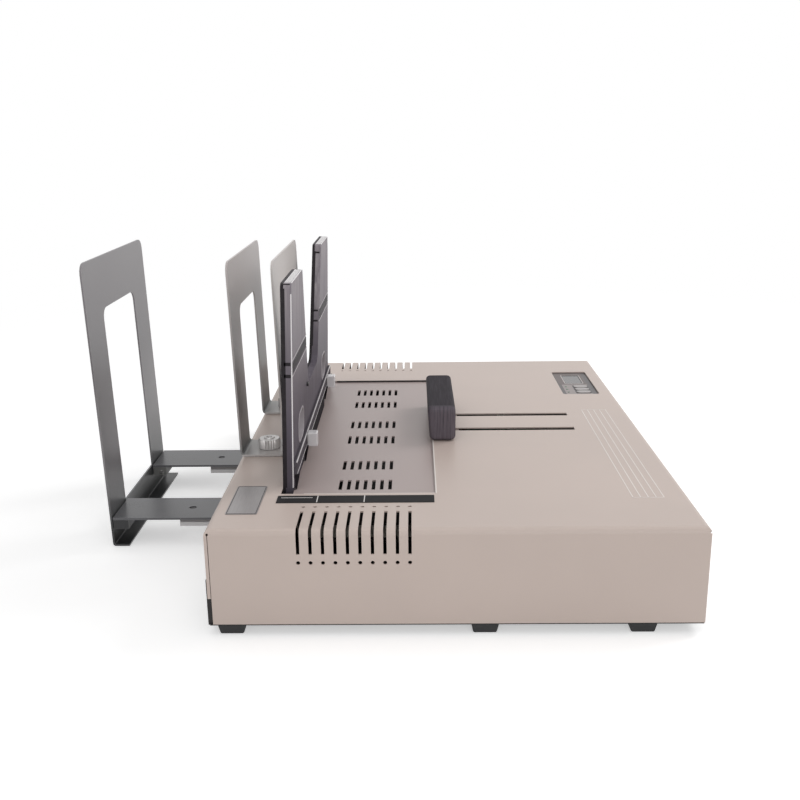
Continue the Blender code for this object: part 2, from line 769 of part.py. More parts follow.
REAR_VENT_COUNT = 9
REAR_VENT_PITCH = 0.008
REAR_VENT_WIDTH = 0.003
REAR_VENT_HEIGHT = 0.016
REAR_VENT_FROM_SIDE = 0.0303
REAR_VENT_X = REAR_VENT_FROM_SIDE - CASE_WIDTH / 2


def arm_centres():
    reach = ARM_SPAN / 2 - ARM_WIDTH / 2
    return [ARM_CENTRE_X - reach, ARM_CENTRE_X + reach]


def rail_low_z():
    return ARM_TOP - ARM_SHEET - SEAT_GAP - RAIL_HEIGHT


def fuse_hole_cutter():
    place = (FUSE_CAP_X, from_rear(0), INLET_Z)
    rods = [(place, (0, 1, 0), FUSE_BODY_RADIUS + SEAT_GAP, 4 * CUT_MARGIN)]
    return add_cutter("fuse_hole", rod_mesh("fuse_hole", rods, sides=16))


def floor_vent_cutter():
    """Cooling slots in the floor, under the heater."""
    shape = bmesh.new()
    for index in range(FLOOR_VENT_COUNT):
        station = FLOOR_VENT_FIRST + index * FLOOR_VENT_PITCH
        low = (-FLOOR_VENT_LENGTH / 2, from_rear(station + FLOOR_VENT_WIDTH), FOOT_HEIGHT - CUT_MARGIN)
        high = (FLOOR_VENT_LENGTH / 2, from_rear(station), FLOOR_Z + CUT_MARGIN)
        add_box_to(shape, low, high)
    return add_cutter("floor_vents", finish_mesh("floor_vents", shape))


FLOOR_VENT_COUNT = 8
FLOOR_VENT_PITCH = 0.012
FLOOR_VENT_FIRST = 0.050
FLOOR_VENT_WIDTH = 0.004
FLOOR_VENT_LENGTH = 0.060


def foot_places():
    reach = HALF_CASE - FOOT_INSET
    return [(side * reach, from_rear(station)) for side in (-1, 1) for station in FOOT_STATIONS]


def make_base():
    """Floor pan with low lips and a taller rear wall, folded from one sheet."""
    half = HALF_CASE - COVER_SHEET - BASE_FIT
    front = from_rear(CASE_LENGTH - COVER_SHEET - BASE_FIT)
    rear = from_rear(-REAR_STEP)
    wall_top = COVER_FOOT_Z + REAR_FLANGE_LIFT - SEAT_GAP
    shape = bmesh.new()
    add_box_to(shape, (-half, front, FOOT_HEIGHT), (half, rear, FOOT_HEIGHT + BASE_LIP))
    top = [face for face in shape.faces if face.calc_center_median().z > FOOT_HEIGHT + BASE_LIP - WELD]
    bmesh.ops.delete(shape, geom=top, context="FACES")
    for vert in shape.verts:
        if vert.co.y > rear - WELD and vert.co.z > FOOT_HEIGHT + WELD:
            vert.co.z = wall_top
    bmesh.ops.recalc_face_normals(shape, faces=shape.faces)
    mesh = bpy.data.meshes.new("base_chassis")
    shape.to_mesh(mesh)
    shape.free()
    base = add_part("base_chassis", mesh, "black_sheet")
    wall = base.modifiers.new("sheet", "SOLIDIFY")
    wall.thickness = BASE_SHEET
    wall.offset = -1
    wall.use_even_offset = True
    cut(base, rear_wall_cutter())
    cut(base, fuse_hole_cutter())
    cut(base, floor_vent_cutter())
    return base


def make_feet():
    """Six square rubber feet under the floor, narrower at the bottom."""
    height = FOOT_HEIGHT - SEAT_GAP
    half = FOOT_TOP / 2
    share = FOOT_BOTTOM / FOOT_TOP
    for index, (x, y) in enumerate(foot_places()):
        name = f"rubber_foot_{index + 1}"
        shape = bmesh.new()
        for vert in add_box_to(shape, (-half, -half, 0), (half, half, height)):
            if vert.co.z < WELD:
                vert.co.x *= share
                vert.co.y *= share
        bmesh.ops.translate(shape, verts=shape.verts, vec=(x, y, 0))
        foot = add_part(name, finish_mesh(name, shape), "rubber")
        bevel(foot, FOOT_EDGE, 2, 60.0)


def rod_z():
    return TRAY_UNDER_Z - ROD_DROP


def rod_centres():
    return [WELL_CENTRE_X - ROD_SPREAD / 2, WELL_CENTRE_X + ROD_SPREAD / 2]


def make_guide_rods():
    """Two round rods that the carriage's bearings run on."""
    length = ROD_FRONT - ROD_REAR
    middle = from_rear((ROD_FRONT + ROD_REAR) / 2)
    for side, x in zip(SIDES, rod_centres()):
        name = f"guide_rod_{side}"
        mesh = rod_mesh(name, [((x, middle, rod_z()), (0, 1, 0), ROD_RADIUS, length)])
        add_part(name, mesh, "bright_steel")


def make_cross_members():
    """Upright plates across the case that carry both ends of the rods."""
    top = rod_z() + ROD_RADIUS + BRACKET_HEAD
    foot = FLOOR_Z + SEAT_GAP
    left, right = rod_centres()
    half = BRACKET_WIDTH / 2
    loop = [
        (left - half, foot),
        (left + half, foot),
        (left + half, BRIDGE_LOW),
        (right - half, BRIDGE_LOW),
        (right - half, foot),
        (right + half, foot),
        (right + half, top),
        (left - half, top),
    ]
    inset = BRACKET_SHEET + RUN_GAP
    for end, station in (("rear", ROD_REAR + inset), ("front", ROD_FRONT - inset)):
        name = f"{end}_cross_member"
        plate = add_part(name, front_plate(name, [loop], BRACKET_SHEET, from_rear(station)), "zinc_sheet")
        bores = [((x, from_rear(station), rod_z()), (0, 1, 0), ROD_RADIUS + ROD_RUN, 4 * BRACKET_SHEET) for x in (left, right)]
        cut(plate, add_cutter(f"{name}_bores", rod_mesh(f"{name}_bores", bores)))


def make_bushes():
    """Bearing blocks under the tray, one along each rod."""
    high_z = TRAY_UNDER_Z - SEAT_GAP
    low_z = high_z - BUSH_HEIGHT
    half = BUSH_WIDTH / 2
    for side, x in zip(SIDES, rod_centres()):
        name = f"slide_bush_{side}"
        low = (x - half, from_rear(BUSH_FRONT), low_z)
        high = (x + half, from_rear(BUSH_REAR), high_z)
        bush = add_part(name, box_mesh(name, (low, high)), "black_plastic")
        middle = (x, from_rear((BUSH_REAR + BUSH_FRONT) / 2), rod_z())
        length = BUSH_FRONT - BUSH_REAR + 2 * CUT_MARGIN
        bore = rod_mesh(f"{name}_bore", [(middle, (0, 1, 0), ROD_RADIUS + ROD_RUN, length)])
        cut(bush, add_cutter(f"{name}_bore", bore))


def tray_rear():
    rise = TRAY_TOP_Z - clamp_foot_z()
    return CLAMP_REAR + CLAMP_BACKING + SEAT_GAP + CLAMP_THICKNESS + rise * math.tan(CLAMP_LEAN) + RUN_GAP


def make_tray():
    """Vented sliding plate just under the top, with a turned-down front hem."""
    half = WELL_WIDTH / 2 + TRAY_OVERLAP
    front = from_rear(TRAY_FRONT)
    rear = from_rear(tray_rear())
    path = [(rear, TRAY_TOP_Z), (front, TRAY_TOP_Z), (front, TRAY_TOP_Z - TRAY_HEM)]
    mesh = side_sheet("slide_tray", path, TRAY_SHEET, 2 * half, WELL_CENTRE_X)
    tray = add_part("slide_tray", mesh, "beige_paint")
    shape = bmesh.new()
    for pair in (-1, 0, 1):
        for row in (-1, 1):
            x = TRAY_VENT_CENTRE_X + pair * TRAY_PAIR_PITCH + row * TRAY_ROW_GAP / 2
            for index in range(TRAY_SLOT_COUNT):
                station = TRAY_SLOT_FIRST + index * TRAY_SLOT_PITCH
                low_y = from_rear(station + TRAY_SLOT_WIDTH / 2)
                high_y = from_rear(station - TRAY_SLOT_WIDTH / 2)
                low = (x - TRAY_SLOT_LENGTH / 2, low_y, TRAY_UNDER_Z - CUT_MARGIN)
                high = (x + TRAY_SLOT_LENGTH / 2, high_y, TRAY_TOP_Z + CUT_MARGIN)
                add_box_to(shape, low, high)
    cut(tray, add_cutter("tray_vents", finish_mesh("tray_vents", shape)))
    holes = []
    for x in stem_positions():
        place = (x, from_rear(stem_station()), TRAY_TOP_Z)
        holes.append((place, (0, 0, 1), STEM_RADIUS + SEAT_GAP, 4 * CUT_MARGIN))
    cut(tray, add_cutter("tray_holes", rod_mesh("tray_holes", holes, sides=16)))
    return tray


def clamp_foot_z():
    return TOP_Z - CLAMP_FOOT_DROP


def clamp_outline():
    """Two towers with a tapered gap between them, seen from the front."""
    half = CLAMP_WIDTH / 2
    foot = clamp_foot_z()
    top = CLAMP_TOP
    gap_floor = CLAMP_GAP_FLOOR
    floor_half = CLAMP_GAP_FLOOR_WIDTH / 2
    mouth_half = CLAMP_GAP_MOUTH_WIDTH / 2
    corners = [
        (-half, foot),
        (half, foot),
        (half, top),
        (mouth_half, top),
        (floor_half, gap_floor),
        (-floor_half, gap_floor),
        (-mouth_half, top),
        (-half, top),
    ]
    big = CLAMP_GAP_CORNER
    small = CLAMP_CORNER
    return rounded_path(corners, (0, 0, small, small, big, big, small, small), 4)


def clamp_holes():
    """Rounded windows in the lower part of the plate."""
    loops = []
    half = CLAMP_HOLE_WIDTH / 2
    rise = CLAMP_HOLE_HEIGHT / 2
    for side in (-1, 1):
        x = side * CLAMP_HOLE_SPREAD / 2
        low = (x - half, CLAMP_HOLE_HEIGHT_CENTRE - rise)
        high = (x + half, CLAMP_HOLE_HEIGHT_CENTRE + rise)
        loops.append(rectangle(low, high, (rise * CLAMP_HOLE_CORNER_SHARE,) * 4))
    return loops


def lean_matrix():
    """Tilts the clamp plate forward about its rear foot line."""
    pivot = Vector((WELL_CENTRE_X, from_rear(CLAMP_REAR), clamp_foot_z()))
    turn = Matrix.Rotation(CLAMP_LEAN, 4, "X")
    return Matrix.Translation(pivot) @ turn @ Matrix.Translation(-pivot)


def leaning_plate(name, loops, thickness, rear):
    """A plate of the clamp before its lean, its rear face this far forward."""
    middle = from_rear(rear + thickness / 2)
    return front_plate(name, loops, thickness, middle, WELL_CENTRE_X)


def make_clamp():
    """Smoky plate with grooves and windows, and its dark backing."""
    loops = [clamp_outline()]
    backing_mesh = leaning_plate("clamp_backing", loops, CLAMP_BACKING, CLAMP_REAR)
    backing = add_part("clamp_backing", backing_mesh, "black_plastic")
    backing.matrix_world = lean_matrix()
    windows = window_cutter()
    cut(backing, windows)
    rear = CLAMP_REAR + CLAMP_BACKING + SEAT_GAP
    plate = add_part("clamp_plate", leaning_plate("clamp_plate", loops, CLAMP_THICKNESS, rear), "smoky_plastic")
    plate.matrix_world = lean_matrix()
    cut(plate, windows)
    cut(plate, groove_cutter(rear + CLAMP_THICKNESS))
    return plate


def window_cutter():
    """Rounded windows low in both halves of the clamp."""
    depth = 2 * (CLAMP_BACKING + CLAMP_THICKNESS + CUT_MARGIN)
    shape = bmesh.new()
    for index, loop in enumerate(clamp_holes()):
        one = front_plate(f"window_{index}", [loop], depth, from_rear(CLAMP_REAR), WELL_CENTRE_X)
        shape.from_mesh(one)
        bpy.data.meshes.remove(one)
    cutter = add_cutter("clamp_windows", finish_mesh("clamp_windows", shape))
    cutter.matrix_world = lean_matrix()
    return cutter


def groove_cutter(front):
    """Two grooves across the front of both towers."""
    half = CLAMP_WIDTH / 2 + CUT_MARGIN
    pairs = []
    for index in range(2):
        low_z = CLAMP_GROOVE_LOW + index * CLAMP_GROOVE_PITCH
        low = (WELL_CENTRE_X - half, from_rear(front + CUT_MARGIN), low_z)
        high = (WELL_CENTRE_X + half, from_rear(front - CLAMP_GROOVE_DEPTH), low_z + CLAMP_GROOVE)
        pairs.append((low, high))
    cutter = add_cutter("clamp_grooves", box_mesh("clamp_grooves", *pairs))
    cutter.matrix_world = lean_matrix()
    return cutter


def clamp_front(height_z):
    """Distance of the leaning clamp's front face from the case's rear face."""
    depth = CLAMP_BACKING + SEAT_GAP + CLAMP_THICKNESS
    rise = height_z - clamp_foot_z()
    return CLAMP_REAR + depth / math.cos(CLAMP_LEAN) + rise * math.tan(CLAMP_LEAN)


BAR_RISE = 0.0127
BAR_HEIGHT = 0.0095
BAR_DEPTH = 0.0024
WEB_WIDTH = 0.125
WEB_DEPTH = 0.0022
FIN_THICKNESS = 0.003
FIN_HEAD = 0.0040
FIN_TIP = 0.0012
FIN_SETBACK = 0.0002
FIN_INSET = 0.001
STOP_SPREAD = 0.189
STOP_FROM_FIN = 0.0064
STOP_WIDTH = 0.009
STOP_HEIGHT = 0.0120
STOP_DROP = 0.0012
STOP_LENGTH = 0.0086


def bar_rear():
    """Distance of the foot bar's rear face from the case's rear face."""
    return clamp_front(TRAY_TOP_Z + BAR_RISE + BAR_HEIGHT) + SEAT_GAP


def stop_positions():
    return [HANDLE_CENTRE_X + side * STOP_SPREAD / 2 for side in (-1, 1)]


def fin_positions():
    """A fin at each end of the bar and one beside each block."""
    reach = CLAMP_WIDTH / 2 - FIN_THICKNESS / 2 - FIN_INSET
    ends = [WELL_CENTRE_X + side * reach for side in (-1, 1)]
    return ends + [x - STOP_FROM_FIN for x in stop_positions()]


def make_clamp_foot():
    """Bar along the clamp's lower front edge, with a web and tapered fins below it."""
    low_z = TRAY_TOP_Z + SEAT_GAP
    bar_low = TRAY_TOP_Z + BAR_RISE
    rear = bar_rear()
    half = CLAMP_WIDTH / 2
    low = (WELL_CENTRE_X - half, from_rear(rear + BAR_DEPTH), bar_low)
    high = (WELL_CENTRE_X + half, from_rear(rear), bar_low + BAR_HEIGHT)
    bar = add_part("clamp_foot", box_mesh("clamp_foot", (low, high)), "black_plastic")
    web_rear = rear + FIN_SETBACK
    low = (HANDLE_CENTRE_X - WEB_WIDTH / 2, from_rear(web_rear + WEB_DEPTH), low_z)
    high = (HANDLE_CENTRE_X + WEB_WIDTH / 2, from_rear(web_rear), bar_low + JOIN_DEPTH)
    join(bar, "clamp_web", box_mesh("clamp_web", (low, high)))
    fin_rear = from_rear(rear + FIN_SETBACK)
    fin_high = bar_low + JOIN_DEPTH
    loop = [(fin_rear - FIN_TIP, low_z), (fin_rear, low_z), (fin_rear, fin_high), (fin_rear - FIN_HEAD, fin_high)]
    shape = bmesh.new()
    for index, x in enumerate(fin_positions()):
        matrix = Matrix.Translation((x, 0, 0)) @ SIDE_PLANE
        fin = outline_mesh(f"fin_{index}", [loop], FIN_THICKNESS, matrix)
        shape.from_mesh(fin)
        bpy.data.meshes.remove(fin)
    join(bar, "clamp_fins", finish_mesh("clamp_fins", shape))
    return bar


def make_paper_stops():
    """Clear blocks on the front of the foot bar that steady the sheets' edges."""
    low_z = TRAY_TOP_Z + BAR_RISE - STOP_DROP
    rear = bar_rear() + BAR_DEPTH + SEAT_GAP
    for index, x in enumerate(stop_positions()):
        name = f"paper_stop_{index + 1}"
        low = (x - STOP_WIDTH / 2, from_rear(rear + STOP_LENGTH), low_z)
        high = (x + STOP_WIDTH / 2, from_rear(rear), low_z + STOP_HEIGHT)
        stop = add_part(name, box_mesh(name, (low, high)), "clear_plastic")
        bevel(stop, STOP_EDGE, 1)


STOP_EDGE = 0.0008


def make_clamp_bracket():
    """Angle under the tray that carries the clamp plate."""
    rear = clamp_front(TRAY_UNDER_Z) + SEAT_GAP
    high_z = TRAY_UNDER_Z - SEAT_GAP
    low_z = clamp_foot_z() + BRACKET_SHEET
    upright = from_rear(rear + BRACKET_SHEET)
    toe = upright - BRACKET_FOOT
    path = [(toe, high_z), (upright + BRACKET_SHEET, high_z), (upright + BRACKET_SHEET, low_z)]
    width = ROD_SPREAD - BUSH_WIDTH - 2 * BRACKET_FOOT
    mesh = side_sheet("clamp_bracket", path[::-1], BRACKET_SHEET, width, WELL_CENTRE_X)
    return add_part("clamp_bracket", mesh, "zinc_sheet")


def make_handle():
    """Rounded grip above the well's front edge, on two stems."""
    low_z = TOP_Z + RUN_GAP
    high_z = low_z + HANDLE_HEIGHT
    front = from_rear(HANDLE_REAR + HANDLE_DEPTH)
    rear = from_rear(HANDLE_REAR)
    loop = [(front, low_z), (rear, low_z), (rear + HANDLE_SLANT, high_z), (front, high_z)]
    matrix = Matrix.Translation((HANDLE_CENTRE_X, 0, 0)) @ SIDE_PLANE
    grip = add_part("handle_grip", outline_mesh("handle_grip", [loop], HANDLE_LENGTH, matrix), "black_plastic")
    bevel(grip, HANDLE_ROUND, 3)
    bores = []
    for x in stem_positions():
        place = (x, from_rear(stem_station()), low_z)
        bores.append((place, (0, 0, 1), STEM_RADIUS + SEAT_GAP, 2 * STEM_REACH + 2 * SEAT_GAP))
    cut(grip, add_cutter("handle_bores", rod_mesh("handle_bores", bores, sides=16)))
    make_stems(low_z + STEM_REACH)
    return grip


def make_stems(stem_top):
    """Stems from the grip through the slots, flanged under the tray."""
    flange_high = TRAY_UNDER_Z - SEAT_GAP
    flange_low = flange_high - STEM_NUT_HEIGHT
    profile = [
        (0.0, stem_top),
        (STEM_RADIUS, stem_top),
        (STEM_RADIUS, flange_high),
        (STEM_NUT_RADIUS, flange_high),
        (STEM_NUT_RADIUS, flange_low),
        (0.0, flange_low),
    ]
    for side, x in zip(SIDES, stem_positions()):
        add_turned_part(f"handle_stem_{side}", profile, (x, from_rear(stem_station()), 0), 16, "bright_steel")


def plate_low_z():
    return TOP_Z - PLATE_DEPTH - PLATE_THICKNESS


def make_heater():
    """Heating plate and flat element, with the shield that holds them."""
    half = PLATE_WIDTH / 2
    low_z = plate_low_z()
    low = (WELL_CENTRE_X - half, from_rear(PLATE_REAR + PLATE_LENGTH), low_z)
    high = (WELL_CENTRE_X + half, from_rear(PLATE_REAR), low_z + PLATE_THICKNESS)
    plate = add_part("heating_plate", box_mesh("heating_plate", (low, high)), "aluminium")
    bevel(plate, PLATE_EDGE, 1)
    middle = PLATE_REAR + PLATE_LENGTH / 2
    layer_top = low_z - SEAT_GAP
    low = (WELL_CENTRE_X - ELEMENT_WIDTH / 2, from_rear(middle + ELEMENT_LENGTH / 2), layer_top - ELEMENT_THICKNESS)
    high = (WELL_CENTRE_X + ELEMENT_WIDTH / 2, from_rear(middle - ELEMENT_LENGTH / 2), layer_top)
    add_part("heater_element", box_mesh("heater_element", (low, high)), "mica")
    make_shield()
    make_supports()
    make_thermostat(layer_top - ELEMENT_THICKNESS - SEAT_GAP)


PLATE_EDGE = 0.0006


def shield_floor_z():
    return plate_low_z() - SHIELD_DROP


def make_shield():
    """Sheet channel below the plate; its tall rear flange backs the pocket."""
    rear = from_rear(PLATE_REAR - SHIELD_MARGIN - SHIELD_SHEET)
    front = from_rear(PLATE_REAR + PLATE_LENGTH + SHIELD_MARGIN + SHIELD_SHEET)
    bottom = shield_floor_z() - SHIELD_SHEET
    front_top = bottom + SHIELD_FRONT_LIP
    rear_top = UNDER_TOP_Z - SEAT_GAP
    path = [(rear, rear_top), (rear, bottom), (front, bottom), (front, front_top)]
    mesh = side_sheet("heat_shield", path[::-1], SHIELD_SHEET, PLATE_WIDTH, WELL_CENTRE_X)
    shield = add_part("heat_shield", mesh, "zinc_sheet")
    low = FLOOR_Z + SEAT_GAP
    high = bottom + JOIN_DEPTH
    posts = []
    for x in support_centres():
        for station in (PLATE_REAR + SPACER_INSET, PLATE_REAR + PLATE_LENGTH - SPACER_INSET):
            posts.append(((x, from_rear(station), (low + high) / 2), (0, 0, 1), SPACER_RADIUS, high - low))
    join(shield, "shield_posts", rod_mesh("shield_posts", posts, sides=6))
    return shield


def support_centres():
    reach = PLATE_WIDTH / 2 - SPACER_INSET
    return [WELL_CENTRE_X - reach, WELL_CENTRE_X + reach]


def make_supports():
    """Ceramic bars that hold the plate above the shield."""
    low = shield_floor_z() + SEAT_GAP
    high = plate_low_z() - SEAT_GAP
    rear = from_rear(PLATE_REAR + SPACER_INSET)
    front = from_rear(PLATE_REAR + PLATE_LENGTH - SPACER_INSET)
    for side, x in zip(SIDES, support_centres()):
        name = f"ceramic_support_{side}"
        pair = ((x - SPACER_RADIUS, front, low), (x + SPACER_RADIUS, rear, high))
        add_part(name, box_mesh(name, pair), "ceramic")


def make_thermostat(contact_z):
    """Snap-disc thermostat held against the element."""
    y = from_rear(PLATE_REAR + PLATE_LENGTH / 2)
    place = (WELL_CENTRE_X + ELEMENT_WIDTH / 4, y, contact_z - THERMOSTAT_HEIGHT / 2)
    rods = [(place, (0, 0, 1), THERMOSTAT_RADIUS, THERMOSTAT_HEIGHT)]
    add_part("thermostat", rod_mesh("thermostat", rods), "black_plastic")


def rack_elevation(centre_x, width, leg, window, foot_z):
    """Outer edge and window (from sill to head) of a stand, seen from the front."""
    half = width / 2
    sill_z, head_z = window
    low = (centre_x - half, foot_z)
    high = (centre_x + half, RACK_TOP)
    outer = rectangle(low, high, (0, 0, RACK_CORNER, RACK_CORNER))
    window_low = (centre_x - half + leg, sill_z)
    window_high = (centre_x + half - leg, head_z)
    opening = rectangle(window_low, window_high, (0, 0, RACK_CORNER, RACK_CORNER))
    return [outer, opening]


def make_outer_stand():
    """Upright with a window, folded towards the machine at its foot."""
    foot_z = OUTER_GROUND_GAP
    inner = from_rear(-OUTER_REACH)
    lean = (RACK_TOP + CUT_MARGIN - foot_z) * math.tan(RACK_LEAN)
    toe = inner - OUTER_FLANGE
    outer = inner + RACK_SHEET
    path = [(toe, foot_z), (outer, foot_z), (outer + lean, RACK_TOP + CUT_MARGIN)]
    bend = OUTER_BEND + RACK_SHEET
    path = rounded_path(path, (0, bend, 0), 3, closed=False)
    mesh = side_sheet("outer_stand", path, RACK_SHEET, OUTER_WIDTH + 2 * CUT_MARGIN, OUTER_CENTRE_X)
    stand = add_part("outer_stand", mesh, "grey_paint")
    depth = 2 * (OUTER_FLANGE + RACK_SHEET + lean + CUT_MARGIN)
    window = (OUTER_SILL, OUTER_WINDOW_TOP)
    loops = rack_elevation(OUTER_CENTRE_X, OUTER_WIDTH, OUTER_LEG, window, foot_z - CUT_MARGIN)
    form = front_plate("outer_stand_form", loops, depth, outer)
    cut(stand, add_cutter("outer_stand_form", form), "INTERSECT")
    return stand


def make_inner_stand():
    """Double upright folded from one sheet, its two feet lying on the top."""
    foot_z = TOP_Z + SEAT_GAP
    rear = from_rear(INNER_REAR)
    front = from_rear(INNER_REAR + INNER_PITCH + RACK_SHEET)
    top = RACK_TOP + CUT_MARGIN
    lean = (top - foot_z) * math.tan(RACK_LEAN)
    path = [(front + lean, top), (front, foot_z), (rear, foot_z), (rear + lean, top)]
    bend = RACK_BEND + RACK_SHEET
    path = rounded_path(path, (0, bend, bend, 0), 3, closed=False)
    mesh = side_sheet("inner_stand", path, RACK_SHEET, INNER_WIDTH + 2 * CUT_MARGIN, INNER_CENTRE_X)
    stand = add_part("inner_stand", mesh, "light_grey_paint")
    depth = 2 * (INNER_PITCH + RACK_SHEET + lean + CUT_MARGIN)
    window = (foot_z - CUT_MARGIN / 2, INNER_WINDOW_TOP)
    loops = rack_elevation(INNER_CENTRE_X, INNER_WIDTH, INNER_LEG, window, foot_z - CUT_MARGIN)
    form = front_plate("inner_stand_form", [loops[0]], depth, rear)
    cut(stand, add_cutter("inner_stand_form", form), "INTERSECT")
    opening = front_plate("inner_stand_window", [loops[1]], depth, rear)
    cut(stand, add_cutter("inner_stand_window", opening))
    holes = []
    for x in stud_positions():
        place = (x, from_rear(STUD_FROM_REAR), foot_z)
        holes.append((place, (0, 0, 1), STUD_RADIUS + RUN_GAP, 4 * CUT_MARGIN))
    cut(stand, add_cutter("inner_stand_holes", rod_mesh("inner_stand_holes", holes, sides=16)))
    return stand


def make_studs():
    """Studs held under the top, which the thumb nuts screw onto."""
    flange_high = UNDER_TOP_Z - SEAT_GAP
    flange_low = flange_high - STUD_FLANGE_HEIGHT
    top = TOP_Z + RACK_SHEET + NUT_HEIGHT + NUT_BOSS_HEIGHT
    profile = [
        (0.0, top),
        (STUD_RADIUS, top),
        (STUD_RADIUS, flange_high),
        (STUD_FLANGE_RADIUS, flange_high),
        (STUD_FLANGE_RADIUS, flange_low),
        (0.0, flange_low),
    ]
    for side, x in zip(SIDES, stud_positions()):
        add_turned_part(f"rack_stud_{side}", profile, (x, from_rear(STUD_FROM_REAR), 0), 16, "bright_steel")


def add_turned_to(shape, profile, centre, sides):
    """Add a turned solid about Z: a (radius, z) profile, top to bottom."""
    verts = [shape.verts.new((radius, 0, z)) for radius, z in profile]
    edges = [shape.edges.new(pair) for pair in zip(verts, verts[1:])]
    if profile[0][0] > 0:
        edges.append(shape.edges.new((verts[-1], verts[0])))
    before = set(shape.verts) - set(verts)
    bmesh.ops.spin(
        shape,
        geom=verts + edges,
        cent=(0, 0, 0),
        axis=(0, 0, 1),
        dvec=(0, 0, 0),
        angle=math.tau,
        steps=sides,
        use_merge=True,
        use_duplicate=False,
    )
    made = [vert for vert in shape.verts if vert not in before]
    bmesh.ops.remove_doubles(shape, verts=made, dist=WELD)
    made = [vert for vert in shape.verts if vert not in before]
    bmesh.ops.translate(shape, verts=made, vec=Vector(centre))


def add_turned_part(name, profile, place, sides, finish):
    """One turned sub-part with its origin on its own axis."""
    shape = bmesh.new()
    add_turned_to(shape, profile, (0, 0, 0), sides)
    mesh = finish_mesh(name, shape)
    smooth(mesh)
    part = add_part(name, mesh, finish)
    part.location = place
    return part


def make_thumb_nuts():
    """Round nuts with a raised boss, turned by hand."""
    low = TOP_Z + RACK_SHEET + 2 * SEAT_GAP
    high = low + NUT_HEIGHT
    bore = STUD_RADIUS + ROD_RUN
    profile = [
        (bore, high + NUT_BOSS_HEIGHT),
        (NUT_BOSS_RADIUS, high + NUT_BOSS_HEIGHT),
        (NUT_BOSS_RADIUS, high),
        (NUT_RADIUS - NUT_CHAMFER, high),
        (NUT_RADIUS, high - NUT_CHAMFER),
        (NUT_RADIUS, low + NUT_CHAMFER),
        (NUT_RADIUS - NUT_CHAMFER, low),
        (bore, low),
    ]
    for side, x in zip(SIDES, stud_positions()):
        add_turned_part(f"thumb_nut_{side}", profile, (x, from_rear(STUD_FROM_REAR), 0), 24, "bright_steel")


def make_arms():
    """Flat arms from the outer stand, each screwed to a sliding rail."""
    low_z = ARM_TOP - ARM_SHEET
    rear = -OUTER_REACH + SEAT_GAP
    half = ARM_WIDTH / 2
    for side, x in zip(SIDES, arm_centres()):
        name = f"rack_arm_{side}"
        pair = ((x - half, from_rear(ARM_FRONT), low_z), (x + half, from_rear(rear), ARM_TOP))
        arm = add_part(name, box_mesh(name, pair), "grey_paint")
        screw = (x, from_rear(-RAIL_REAR + ARM_SCREW_FROM_RAIL_END), low_z)
        hole = [(screw, (0, 0, 1), ARM_SCREW_RADIUS + SEAT_GAP, 4 * ARM_SHEET)]
        cut(arm, add_cutter(f"arm_hole_{side}", rod_mesh(f"arm_hole_{side}", hole, sides=16)))
    make_rails()


def make_rails():
    """Extruded rails under the arms, grooved along both sides."""
    high_z = ARM_TOP - ARM_SHEET - SEAT_GAP
    low_z = high_z - RAIL_HEIGHT
    half = RAIL_WIDTH / 2
    third = RAIL_HEIGHT / 3
    groove = RAIL_GROOVE
    loop = [
        (-half, low_z),
        (half, low_z),
        (half, low_z + third),
        (half - groove, low_z + third),
        (half - groove, high_z - third),
        (half, high_z - third),
        (half, high_z),
        (-half, high_z),
        (-half, high_z - third),
        (-half + groove, high_z - third),
        (-half + groove, low_z + third),
        (-half, low_z + third),
    ]
    middle = from_rear(-RAIL_REAR + RAIL_LENGTH / 2)
    add_bars("rack_rail", loop, RAIL_LENGTH, middle, "aluminium")


def add_bars(stem, loop, length, middle, finish):
    """One bar of this section under each arm."""
    for side, x in zip(SIDES, arm_centres()):
        name = f"{stem}_{side}"
        add_part(name, front_plate(name, [loop], length, middle, x), finish)


def make_guides():
    """Channels on the floor that the rails run in."""
    length = GUIDE_LENGTH
    middle = from_rear(GUIDE_REAR + length / 2)
    rail_low = rail_low_z() - RUN_GAP
    inner = RAIL_WIDTH / 2 + RUN_GAP
    outer = inner + GUIDE_WALL
    top = rail_low + GUIDE_LAP
    foot = FLOOR_Z + SEAT_GAP
    loop = [
        (-outer, foot),
        (-inner, foot),
        (-inner, rail_low - GUIDE_WALL),
        (inner, rail_low - GUIDE_WALL),
        (inner, foot),
        (outer, foot),
        (outer, top),
        (inner, top),
        (inner, rail_low),
        (-inner, rail_low),
        (-inner, top),
        (-outer, top),
    ]
    add_bars("rack_guide", loop, length, middle, "zinc_sheet")


def make_clamp_blocks():
    """Blocks under the arms, each with the screw that draws it to the stand."""
    high_z = ARM_TOP - ARM_SHEET - SEAT_GAP
    low_z = high_z - BLOCK_HEIGHT
    rear = -OUTER_REACH + SEAT_GAP
    knob_length = KNURL_LENGTH + JOIN_DEPTH
    knob_y = from_rear(rear + ARM_TAB - JOIN_DEPTH + knob_length / 2)
    for side, x in zip(SIDES, arm_centres()):
        name = f"arm_block_{side}"
        low = (x - BLOCK_WIDTH / 2, from_rear(rear + ARM_TAB), low_z)
        high = (x + BLOCK_WIDTH / 2, from_rear(rear), high_z)
        block = add_part(name, box_mesh(name, (low, high)), "grey_paint")
        knob = [((x, knob_y, (low_z + high_z) / 2), (0, 1, 0), KNURL_RADIUS, knob_length)]
        join(block, f"{name}_screw", rod_mesh(f"{name}_screw", knob, sides=16))


def overlay_top_z():
    return UNDER_TOP_Z - SEAT_GAP


def button_places():
    y = from_rear(PANEL_REAR + PANEL_LENGTH * BUTTON_ALONG_SHARE)
    first = PANEL_CENTRE_X - PANEL_WIDTH * BUTTON_ACROSS_SHARE
    return [(first + index * BUTTON_PITCH, y) for index in range(BUTTON_COUNT)]


